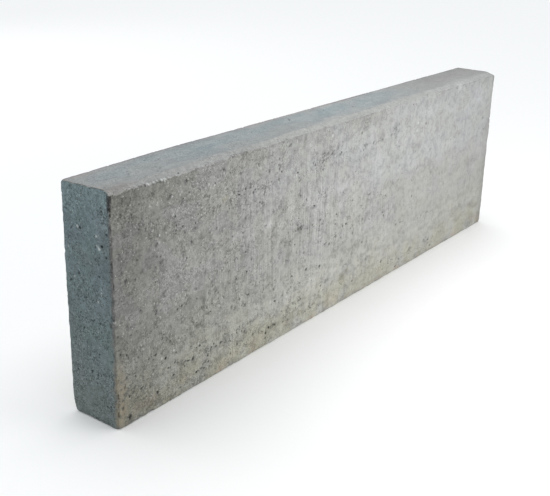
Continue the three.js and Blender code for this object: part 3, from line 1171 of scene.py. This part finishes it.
# darker towards the top left corner and paler along the left of the foot, painted as light and shade in broad
# gradients; darker close under the heel
shade = w.mul(
    w.math("SUBTRACT", 1.0, w.mul(w.ease(X, -0.39, -0.495), w.ease(Z, 0.06, 0.16), 0.15)),
    w.add(1.0, w.mul(w.ease(Z, 0.13, 0.03), w.ease(X, -0.475, -0.39), w.ease(X, 0.03, -0.07), 0.17)),
    w.math("SUBTRACT", 1.0, w.mul(w.ease(X, -0.31, -0.42), w.ease(Z, 0.17, 0.24), 0.055)),
    w.math("SUBTRACT", 1.0, w.mul(w.ease(X, 0.20, 0.36), 0.065)),
    w.math("SUBTRACT", 1.0, w.mul(w.hump(Z, 0.145, 0.07), w.ease(X, -0.03, 0.08), 0.05)),
)
band_under = w.mul(
    w.ease(w.add(below_a, w.around(n_mottle, 22.0)), 28.0, 8.0),
    w.add(
        0.035,
        w.mul(w.ease(X, -0.42, -0.46), 0.10),
        w.mul(w.hump(X, 0.045, 0.07), 0.13),
        w.mul(w.hump(X, -0.15, 0.12), 0.05),
    ),
)
n_notch = w.noise(w.stretch(P3, 230.0, 230.0, 90.0, (4.4, 0.9, 2.0)), detail=2, rough=0.6)
notch = w.mul(
    w.hump(below_a, 1.3, 2.2),
    w.ease(n_notch, 0.42, 0.60),
    w.ease(X, -0.415, -0.38, 0.34, 0.14),
)
shade = w.mul(shade, w.math("SUBTRACT", 1.0, band_under), w.math("SUBTRACT", 1.0, notch))
face = times(face, shade)
face = w.mix(
    w.ease(n_hue, 0.36, 0.64),
    w.mix(1.0, face, (1.000, 1.000, 1.010), "MULTIPLY"),
    w.mix(1.0, face, (0.999, 1.000, 0.972), "MULTIPLY"),
)
# cooler above, most of all to the right; sallower downwards, most of all to the left
cooler = w.mul(w.ease(Z, 0.125, 0.205), w.ease(X, -0.30, 0.30))
face = w.mix(cooler, face, w.mix(1.0, face, (0.986, 1.002, 1.024), "MULTIPLY"))
sallower = w.math(
    "MAXIMUM",
    w.mul(w.ease(Z, 0.160, 0.060), w.ease(X, -0.45, 0.0, 1.0, 0.45)),
    w.mul(w.ease(Z, 0.235, 0.270), w.ease(X, -0.33, -0.43), 0.55),
)
face = w.mix(sallower, face, w.mix(1.0, face, (0.994, 1.001, 0.948), "MULTIPLY"))

# top: pressed smooth, the cement a little bluer in the middle
n_trowel = w.noise(w.stretch(P3, 22.0, 40.0, 40.0, (1.0, 2.0, 0.0)), detail=4, rough=0.6)
cap = w.mix(w.ease(n_trowel, 0.38, 0.64), (0.256, 0.295, 0.306), (0.311, 0.334, 0.335))
cap = w.mix(w.mul(w.ease(n_hue, 0.50, 0.66), 0.6), cap, (0.312, 0.317, 0.309))
plain = w.add(w.mul(w.ease(X, -0.40, -0.50), 0.5), w.mul(w.ease(X, 0.06, 0.34), 1.0))
cap = w.mix(plain, cap, (0.3045, 0.2995, 0.288))
far_cap = w.ease(X, -0.30, 0.05)
cap = times(
    cap,
    w.mul(
        w.add(1.0, w.mul(far_cap, 0.19)),
        w.math("SUBTRACT", 1.0, w.mul(w.ease(X, 0.22, 0.34), w.ease(Y, -0.02, 0.03, 0.03, 0.11))),
        w.add(1.0, w.mul(w.hump(X, -0.25, 0.10), 0.045)),
    ),
)
# its blue fades towards both long edges
fading = w.math("MAXIMUM", w.mul(w.ease(Y, 0.006, -0.036, kind="LINEAR"), 0.80), w.mul(w.ease(Y, 0.016, 0.034), 0.55))
grey = w.node("RGBToBW")
w.feed(grey.inputs[0], cap)
cap = w.mix(fading, cap, times((1.010, 1.000, 0.975), grey.outputs[0]))
blush = w.math(
    "MAXIMUM",
    w.mul(w.hump(X, -0.475, 0.035), w.hump(Y, -0.024, 0.017)),
    w.mul(w.hump(X, -0.475, 0.045), w.hump(Y, 0.034, 0.014)),
)
cap = w.mix(w.mul(blush, w.ease(n_mottle, 0.35, 0.6), 0.8), cap, (0.315, 0.298, 0.290))
back_rim = w.ease(w.add(Y, w.around(n_blot, 0.004), w.mul(w.hump(X, -0.05, 0.26), 0.0035)), 0.0350, 0.0378)
cap = w.mix(w.mul(back_rim, 0.9), cap, w.mix(w.hump(X, -0.05, 0.26), (0.215, 0.192, 0.195), (0.372, 0.345, 0.335)))
cap_tone = w.add(
    1.0,
    w.around(n_mottle, 0.26),
    w.around(n_blot, 0.46),
    w.mul(w.add(0.6, w.mul(unshut, 0.8)), w.add(w.around(n_grain, 0.78), w.around(n_fine, 0.72))),
)

# ends: darker and slate-toned, partly their own cement skin and partly painted shade for an end turned from the
# light; tighter in grain
butt = w.mix(w.ease(n_hue, 0.38, 0.60), (0.181, 0.228, 0.242), (0.179, 0.231, 0.234))
butt = w.mix(w.mul(w.ease(n_where, 0.52, 0.66), 0.7), butt, (0.190, 0.226, 0.236))
butt = w.mix(w.ease(Z, 0.235, 0.30, 0.0, 0.55), butt, (0.235, 0.292, 0.305))
butt = w.mix(w.ease(Z, 0.12, 0.0, 0.0, 0.6), butt, (0.206, 0.236, 0.236))
butt = w.mix(1.0, butt, w.mix(w.ease(Z, 0.02, 0.27, kind="LINEAR"), (1.012, 0.976, 0.930), (0.974, 1.000, 1.006)), "MULTIPLY")
butt = times(butt, w.math("SUBTRACT", 1.0, w.add(w.mul(w.hump(Z, 0.145, 0.075), 0.045), w.mul(verge, 0.07))))
butt_tone = w.add(
    1.0,
    w.around(n_patch, 0.22),
    w.around(n_mottle, 0.65),
    w.around(n_blot, 0.85),
    w.mul(
        w.add(0.5, w.mul(unshut, 0.9)),
        w.add(w.around(n_grain, 1.30), w.around(n_fine, 1.0), w.around(sand_r[1], 0.40)),
    ),
)

# splay: the trowelled bevel, a nearly neutral grey, paler from the middle on
bevel = w.mix(w.ease(X, -0.31, -0.13), (0.3300, 0.3290, 0.3185), (0.3945, 0.3930, 0.3785))
bevel = w.mix(w.ease(X, 0.20, 0.36), bevel, (0.3980, 0.3915, 0.3860))
bevel = w.mix(w.mul(w.ease(n_blot, 0.40, 0.62), 0.5), bevel, times(bevel, 1.06))
bevel = times(bevel, w.mul(w.ease(X, 0.42, 0.38, 0.948, 1.0), w.ease(X, -0.45, -0.395, 0.945, 1.0)))
worn = w.mul(w.ease(w.add(X, w.around(n_blot, 0.03)), -0.452, -0.474), 0.9)
bevel = w.mix(worn, bevel, w.mix(n_notch, (0.262, 0.252, 0.240), (0.345, 0.330, 0.310)))
lip = w.mul(w.hump(below_a, -1.0, 2.2), w.ease(X, -0.30, -0.38), w.ease(n_notch, 0.56, 0.40))
bevel = w.mix(w.mul(lip, 0.35), bevel, (0.56, 0.565, 0.55))

colour = times(face, tone)
colour = w.mix(top_a, colour, times(cap, cap_tone))
# the paler band along the front of the top runs from a hand's breadth at the left end to a thin line
n_shore = w.noise(w.stretch(P3, 8.0, 30.0, 30.0, (0.0, 4.0, 2.0)), detail=3, rough=0.6)
shore = w.add(Y, w.around(n_shore, -0.055), w.mul(w.ease(X, -0.42, -0.50), -0.014))
pale_band = w.mul(top_a, w.ease(shore, -0.021, -0.030))
colour = w.mix(w.mul(pale_band, w.ease(X, -0.42, -0.30, 0.2, 0.8)), colour, times(bevel, cap_tone))
colour = w.mix(splay_a, colour, times(bevel, cap_tone))
dull = w.mul(w.ease(X, -0.454, -0.470), w.hump(Y, -0.0305, 0.009), w.math("MAXIMUM", top_a, splay_a))
colour = times(colour, w.math("SUBTRACT", 1.0, w.mul(dull, 0.15)))
colour = w.mix(end_a, colour, times(butt, butt_tone))

# the heel a hand's width from the left end: pale chips, partly fresh fracture and partly painted highlight where
# facets face the light, dark nicks of painted shadow beside them, and a lime-pale spot far right
own = w.node("VectorMath", operation="MULTIPLY_ADD")
w.feed(own.inputs[0], jitter)
own.inputs[1].default_value = (0.003, 0.0, 0.003)
w.feed(own.inputs[2], w.stretch(P3, 0.9, 0.9, 1.0, (-0.0515, 0.0342, -0.0015)))  # y from just behind the heel


def struck(x, z, radius, strength, core=0.35):
    return near_to(own.outputs[0], 0.9 * x, z, radius, strength, core)


chips_and_highlights = w.mul(
    w.total(struck(*row) for row in (
        (62, 293.6, 2.4, 0.9), (66, 294.0, 1.8, 0.7), (71, 294.4, 2.0, 0.7), (76, 295.2, 1.8, 0.6),
        (84.5, 294.0, 2.3, 0.9), (89.5, 293.2, 2.6, 1.0), (95, 294.2, 1.7, 0.5), (33, 295.6, 1.6, 0.35),
    )),
    w.ease(Y, -0.026, -0.030),
)
painted_shadow_nicks = w.mul(
    w.total(struck(*row) for row in (
        (56.5, 293.0, 2.3, 0.9), (52.0, 294.6, 1.8, 0.8), (47.5, 294.9, 1.7, 0.5), (39.0, 291.0, 2.0, 0.45),
        (69.0, 292.2, 2.0, 0.5), (80.0, 292.4, 2.6, 0.55), (142.0, 291.0, 2.2, 0.55), (31.0, 292.6, 1.8, 0.4),
    )),
    w.ease(Y, -0.030, -0.034),
)
colour = w.mix(w.math("MINIMUM", chips_and_highlights, 1.0), colour, (0.60, 0.615, 0.600))
colour = w.mix(w.math("MINIMUM", painted_shadow_nicks, 1.0), colour, (0.080, 0.081, 0.072))
lime = w.mul(
    w.add(near_to(flat.outputs[0], 852, 293, 13, 0.9, 0.2), near_to(flat.outputs[0], 868, 292, 12, 0.8, 0.2)),
    w.ease(Y, -0.028, -0.033),
)
colour = w.mix(w.math("MINIMUM", lime, 1.0), colour, times(colour, 1.17))

# painted shade of small pores, as dark spots, and pale grains, fewer on the smooth top
rare = w.math("SUBTRACT", 1.0, w.mul(top_a, 0.85))
n_open = w.noise(P3, 300.0, 3, 0.62)
where = w.add(
    w.around(n_mottle, 0.25), w.around(n_where, 0.15), w.around(unshut, 0.07), w.mul(thronged, 0.04),
    w.mul(verge, 0.035),
)
more_left = w.ease(X, -0.5, 0.5, 0.020, -0.012, "LINEAR")
open_pore = w.ease(w.add(n_open, where, more_left), 0.65, 0.73)
share = w.mul(
    w.add(0.03, w.mul(unshut, 0.10), w.mul(thronged, 0.17), w.mul(end_a, 0.03), w.mul(speckled, 0.05)),
    w.ease(X, -0.5, 0.5, 1.25, 0.95, "LINEAR"),
    rare,
)
pores = w.math(
    "MAXIMUM",
    dots(215.0, (0.31, 0.77, 0.12), 0.14, 0.28, share),
    dots(390.0, (0.05, 0.41, 0.93), 0.20, 0.34, share),
)
dark = w.math("MAXIMUM", w.mul(open_pore, 0.6, rare), pores)
deepness = w.ease(X, -0.5, 0.5, 0.93, 0.58, "LINEAR")
colour = w.mix(w.mul(dark, deepness), colour, (0.078, 0.079, 0.075))
r_grit = w.cells(P3, 340.0)[1]
bare = w.mul(
    w.add(0.015, w.mul(unshut, 0.050), w.mul(end_a, 0.02), w.mul(speckled, 0.09), w.ease(X, -0.05, 0.30, 0.0, 0.015)),
    coarse,
    w.ease(X, -0.49, -0.40, 0.62, 1.0),
)
pale = w.math(
    "MAXIMUM",
    dots(300.0, (0.37, 0.11, 0.23), 0.20, 0.40, bare),
    w.mul(dots(420.0, (0.61, 0.19, 0.83), 0.28, 0.46, w.mul(bare, 1.3)), 0.8),
)
colour = w.mix(w.mul(pale, 0.66), colour, (0.56, 0.565, 0.545))
stone = dots(
    150.0,
    (0.47, 0.91, 0.13),
    0.11,
    0.21,
    w.mul(w.ease(X, -0.5, -0.1, 0.035, 0.003), w.ease(unshut, 0.1, 0.8), w.math("SUBTRACT", 1.0, top_a)),
)
stone = w.math("MAXIMUM", w.mul(stone, 0.7), grain_a)
colour = w.mix(w.mul(stone, 0.85), colour, w.mix(end_a, (0.62, 0.62, 0.60), (0.50, 0.545, 0.56)))

# painted shade inside the open voids and the flash-line crevice, darkest in the deep ones and the darkest single
# voids; and where the skin has broken away, its raw colour
inside = w.ease(void_a, 0.25, 1.1)
deep = w.ease(void_a, 1.3, 2.6)
colour = w.mix(w.mul(inside, w.ease(X, -0.5, 0.5, 0.68, 0.47, "LINEAR")), colour, (0.08, 0.082, 0.079))
colour = w.mix(w.mul(deep, 0.7), colour, (0.035, 0.036, 0.036))
colour = w.mix(w.mul(hollow_a, 0.9), colour, (0.045, 0.046, 0.045))
raw = times(
    w.mix(r_grit[1], (0.20, 0.195, 0.18), (0.50, 0.495, 0.475)),
    w.add(1.0, w.around(n_grain, 0.6)),
)
colour = w.mix(w.mul(broken_a, 0.7), colour, raw)

# pale grains, and pores as dark spots of painted shade, that stand out on the left end, and a chip in its front
# arris:
# across, up and radius (mm), strength
END_LIGHT = (
    (54.8, 248.4, 1.9, 0.8), (53.6, 246.6, 1.5, 0.6), (23.3, 242.8, 1.7, 0.75), (23.4, 231.4, 1.5, 0.6),
    (21.4, 229.8, 1.6, 0.7), (19.4, 228.0, 2.0, 0.9), (71.5, 219.5, 1.7, 0.5), (63.6, 183.8, 2.4, 0.25),
    (54.5, 203.0, 2.2, 0.2), (19.2, 178.0, 1.3, 0.45), (19.3, 174.4, 1.4, 0.5), (19.4, 171.0, 1.2, 0.4),
    (25.4, 161.8, 1.7, 0.8), (28.0, 122.0, 1.8, 0.3), (1.0, 142.4, 1.6, 0.7),
)
END_DARK = (
    (50.3, 247.0, 2.0, 0.9), (27.2, 241.0, 1.8, 0.5), (15.6, 232.3, 2.4, 1.0), (12.8, 229.6, 1.7, 0.6),
    (26.6, 232.0, 1.4, 0.5), (21.2, 194.1, 1.7, 0.45), (15.6, 192.6, 1.6, 0.45), (56.8, 192.6, 1.8, 0.45),
    (6.7, 247.8, 1.8, 0.6), (1.5, 242.6, 1.7, 0.7), (1.8, 237.2, 1.8, 0.8), (2.9, 231.6, 1.7, 0.6),
    (3.2, 226.1, 1.9, 0.7), (8.3, 220.0, 1.8, 0.6), (2.3, 213.8, 1.8, 0.7), (5.6, 198.4, 1.8, 0.55),
    (5.5, 191.1, 1.7, 0.5), (2.0, 205.0, 1.6, 0.6), (1.0, 145.6, 1.9, 0.9),
)


def spot(x, y, z, radius, strength, core=0.35):
    """`strength` at a point given in mm from the bottom front left corner, gone `radius` mm away."""
    n = w.node("VectorMath", operation="DISTANCE")
    w.feed(n.inputs[0], PN)
    n.inputs[1].default_value = (x / 1000.0 - 0.4989, y / 1000.0 - 0.0389, z / 1000.0 + 0.0011)
    return w.ease(n.outputs["Value"], radius / 1000.0, core * radius / 1000.0, 0.0, strength)


colour = w.mix(
    w.math("MINIMUM", w.total(spot(0.4, *row) for row in END_DARK), 1.0), colour, (0.048, 0.056, 0.056)
)
colour = w.mix(
    w.math("MINIMUM", w.add(w.total(spot(0.2, *row) for row in END_LIGHT), spot(3.0, 0.6, 142.0, 1.5, 0.7)), 1.0),
    colour,
    (0.60, 0.61, 0.60),
)

# pale grains, and pores as dark spots of painted shade, of the front that stand out one by one: x, z from the left
# bottom corner and radius (mm), strength
FRONT_LIGHT = (
    (14, 124, 2.0, 0.33), (66, 144, 1.8, 0.62), (76, 66, 2.7, 0.50), (77, 219, 2.7, 0.35),
    (78, 228, 1.7, 0.65), (89, 228, 1.9, 0.54), (98, 69, 1.9, 0.76), (101, 270, 1.9, 0.99),
    (105, 143, 2.2, 0.60), (114, 269, 1.9, 0.52), (132, 265, 2.4, 0.38), (144, 60, 2.0, 0.58),
    (145, 276, 2.2, 0.49), (166, 270, 2.0, 0.61), (177, 266, 2.4, 0.63), (187, 88, 1.8, 0.59),
    (195, 277, 2.1, 0.50), (211, 247, 2.3, 0.64), (234, 252, 3.2, 0.31), (253, 247, 2.4, 0.53),
    (270, 268, 3.2, 0.45), (273, 215, 2.5, 0.39), (337, 60, 2.6, 0.78), (441, 280, 3.4, 0.57),
    (701, 241, 3.8, 0.57), (704, 253, 3.8, 0.69),
)
FRONT_DARK = (
    (20, 187, 2.5, 0.72), (22, 189, 2.2, 0.84), (34, 264, 2.1, 0.88), (36, 185, 2.4, 0.82),
    (40, 208, 2.2, 0.76), (69, 133, 2.3, 0.70), (73, 218, 2.7, 0.59), (83, 64, 2.7, 1.00),
    (102, 64, 2.3, 0.75), (105, 244, 2.2, 1.00), (106, 226, 2.1, 1.00), (107, 232, 1.9, 1.00),
    (122, 124, 2.6, 0.73), (122, 219, 2.2, 0.79), (130, 268, 1.9, 0.80), (141, 138, 2.9, 0.57),
    (141, 226, 2.1, 1.00), (175, 48, 2.4, 0.84), (178, 268, 2.2, 1.00), (188, 236, 2.7, 0.57),
    (212, 88, 3.4, 0.58), (215, 248, 2.6, 0.58), (228, 94, 3.0, 0.73), (254, 144, 2.4, 0.67),
    (301, 200, 3.8, 0.38), (312, 243, 2.7, 0.76), (312, 272, 2.4, 0.71), (337, 159, 2.5, 0.51),
    (377, 117, 2.9, 0.56), (379, 198, 3.0, 0.70), (399, 245, 3.3, 0.62), (418, 157, 3.1, 0.72),
    (431, 191, 3.5, 0.44), (445, 111, 3.4, 0.86), (467, 250, 2.9, 0.77), (512, 110, 3.6, 0.49),
    (523, 269, 3.8, 0.44), (540, 126, 3.7, 0.39), (559, 247, 3.6, 0.54), (588, 247, 3.8, 0.34),
    (606, 115, 2.9, 0.74), (614, 249, 3.8, 0.34), (700, 126, 3.8, 0.51), (732, 248, 3.8, 0.63),
)
pressed = w.stretch(PN, 1.0, 0.0, 1.0, (-0.0011, 0.0, -0.0011))
for rows, ink in ((FRONT_DARK, (0.062, 0.064, 0.060)), (FRONT_LIGHT, (0.60, 0.605, 0.585))):
    single = w.mul(w.total(near_to(pressed, *row, 0.35) for row in rows), on_front)
    colour = w.mix(w.math("MINIMUM", single, 1.0), colour, ink)

# the front left arris: painted shade in the crevice of its seam, deepest near the top; brown bloom beside its foot
seam_at = w.add(X, w.around(n_blot, 0.004))
seam = w.mul(
    w.ease(seam_at, -0.4970, -0.4986),
    w.ease(Y, -0.0345, -0.0370),
    w.ease(n_mottle, 0.36, 0.54),
    w.ease(below_a, -0.5, 1.0),
    w.ease(Z, 0.10, 0.25, 0.26, 0.62),
    w.ease(w.noise(P3, 240.0, 2, 0.6), 0.41, 0.55, 0.40, 1.15),
)
colour = w.mix(seam, colour, (0.066, 0.070, 0.070))
# painted shadow in the narrow cleft near the top of the seam
painted_cleft_shadow = w.mul(
    w.ease(w.math("ABSOLUTE", w.add(X, w.around(n_blot, 0.006), 0.4985)), 0.0016, 0.0007),
    w.ease(Y, -0.033, -0.0362),
    w.ease(below_a, -0.2, 0.8),
    w.ease(w.add(Z, w.around(n_blot, 0.04)), 0.266, 0.282),
    w.ease(n_grain, 0.34, 0.50, 0.45, 1.0),
)
colour = w.mix(w.mul(painted_cleft_shadow, 0.85), colour, (0.034, 0.035, 0.035))
bloom = w.mul(
    w.ease(w.add(X, w.around(n_mottle, 0.026)), -0.480, -0.494),
    w.ease(Y, -0.033, -0.0375),
    w.ease(w.add(Z, w.around(n_where, 0.05)), 0.100, 0.055),
    w.ease(n_blot, 0.34, 0.56),
)
colour = w.mix(w.mul(bloom, 0.55), colour, (0.335, 0.282, 0.200))
# painted shade over the last few centimetres at the right end, stronger towards the foot
painted_edge_shade = w.mul(w.ease(X, 0.468, 0.498), w.ease(w.add(Z, w.around(n_blot, 0.05)), 0.36, 0.02, 0.30, 1.0))
colour = w.mix(w.mul(painted_edge_shade, 0.30), colour, (0.16, 0.15, 0.135))
# painted shade in the top front corner of the right end
painted_corner_shade = w.mul(w.ease(X, 0.4925, 0.4985), w.ease(Y, -0.022, -0.034), w.hump(Z, 0.290, 0.014))
colour = w.mix(w.mul(painted_corner_shade, 0.75), colour, (0.12, 0.12, 0.115))

# ------------------------------------------------------------------ relief too fine to be mesh

bump_far = w.node("Bump")
bump_far.inputs["Strength"].default_value = 1.0
bump_far.inputs["Distance"].default_value = 0.001
grit_h = w.add(
    w.around(w.noise(P3, 330.0, 3, 0.62), 1.3),
    w.mul(w.around(n_streak, 0.5), drawn),
)
calm = w.math("SUBTRACT", 1.0, w.mul(top_a, 0.6))
height = w.math("SUBTRACT", w.mul(grit_h, coarse, calm, gritty), w.mul(dark, 0.7))
w.feed(bump_far.inputs["Height"], height)

p = w.node("BsdfPrincipled")
w.feed(p.inputs["Base Color"], colour)
w.feed(p.inputs["Roughness"], w.ease(n_grain, 0.3, 0.7, 0.86, 0.97, "LINEAR"))
p.inputs["Specular IOR Level"].default_value = 0.32
w.feed(p.inputs["Normal"], bump_far.outputs[0])
out = w.node("OutputMaterial")
w.feed(out.inputs["Surface"], p.outputs[0])
me.materials.clear()
me.materials.append(w.mat)

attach(kerb, "root")
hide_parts(NODE)

# ------------------------------------------------------------------ floor, light, camera

floor_me = bpy.data.meshes.new("floor")
R = 30.0
floor_me.from_pydata([(-R, -R, 0), (R, -R, 0), (R, R, 0), (-R, R, 0)], [], [(0, 1, 2, 3)])
floor = link("floor", floor_me)
fw = Web("pale_floor")
fp = fw.node("BsdfPrincipled")
fp.inputs["Base Color"].default_value = (0.95, 0.94, 0.93, 1)
fp.inputs["Roughness"].default_value = 0.9
fp.inputs["Specular IOR Level"].default_value = 0.1
fo = fw.node("OutputMaterial")
fw.feed(fo.inputs["Surface"], fp.outputs[0])
floor_me.materials.append(fw.mat)
floor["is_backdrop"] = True

scene = bpy.context.scene
world = bpy.data.worlds.new("studio")
scene.world = world
world.use_nodes = True
nt = world.node_tree
nt.nodes.clear()
lit = nt.nodes.new("ShaderNodeBackground")
lit.inputs["Color"].default_value = (0.84, 0.98, 1.09, 1)
lit.inputs["Strength"].default_value = 0.225
seen = nt.nodes.new("ShaderNodeBackground")
seen.inputs["Color"].default_value = (1, 1, 1, 1)
seen.inputs["Strength"].default_value = 1.0
path = nt.nodes.new("ShaderNodeLightPath")
pick = nt.nodes.new("ShaderNodeMixShader")
wo = nt.nodes.new("ShaderNodeOutputWorld")
nt.links.new(path.outputs["Is Camera Ray"], pick.inputs[0])
nt.links.new(lit.outputs[0], pick.inputs[1])
nt.links.new(seen.outputs[0], pick.inputs[2])
nt.links.new(pick.outputs[0], wo.inputs["Surface"])


def lamp(name, kind, at, towards, energy, colour=(1, 1, 1), **props):
    data = bpy.data.lights.new(name, kind)
    data.energy = energy
    data.color = colour
    for k, v in props.items():
        setattr(data, k, v)
    ob = bpy.data.objects.new(name, data)
    scene.collection.objects.link(ob)
    ob.location = at
    ob.rotation_euler = (
        (Vector(towards) - Vector(at)).to_track_quat("-Z", "Y").to_euler()
    )
    ob.visible_camera = False
    return ob


lamp(
    "overhead",
    "SUN",
    (0.4, 0.5, 4.0),
    (0.0, 0.0, 0.0),
    2.45,
    angle=math.radians(85),
)
lamp(
    "key_panel",
    "AREA",
    (0.24, -0.98, 0.36),
    (0.24, 0.0, 0.12),
    6.0,
    (1.0, 0.985, 0.955),
    shape="RECTANGLE",
    size=0.9,
    size_y=0.6,
)
lamp(
    "back_fill",
    "AREA",
    (0.0, 2.6, 1.4),
    (0.0, 0.0, 0.1),
    9.0,
    shape="RECTANGLE",
    size=3.0,
    size_y=1.2,
)

cam_data = bpy.data.cameras.new("camera")
cam_data.sensor_width = 36.0
cam_data.lens = 59.625
cam_data.clip_start = 0.05
cam_data.clip_end = 100.0
cam = bpy.data.objects.new("camera", cam_data)
scene.collection.objects.link(cam)
right = Vector((0.5995698, -0.7999311, 0.0250253))
down = Vector((-0.2730048, -0.2338178, -0.9331653))
ahead = Vector((0.7523194, 0.5526657, -0.3585752))
turn = Matrix((right, -down, -ahead)).transposed().to_4x4()
cam.matrix_world = Matrix.Translation((-1.1483197, -0.7406043, 0.5998732)) @ turn
scene.camera = cam

scene.view_settings.view_transform = "Standard"
scene.view_settings.look = "None"
scene.view_settings.exposure = 0.0
scene.view_settings.gamma = 1.0

# ------------------------------------------------------------------ bounds

blo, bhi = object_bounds()
print("bounds", [round(c, 4) for c in blo], [round(c, 4) for c in bhi], round(time.time() - T0, 1), "s")
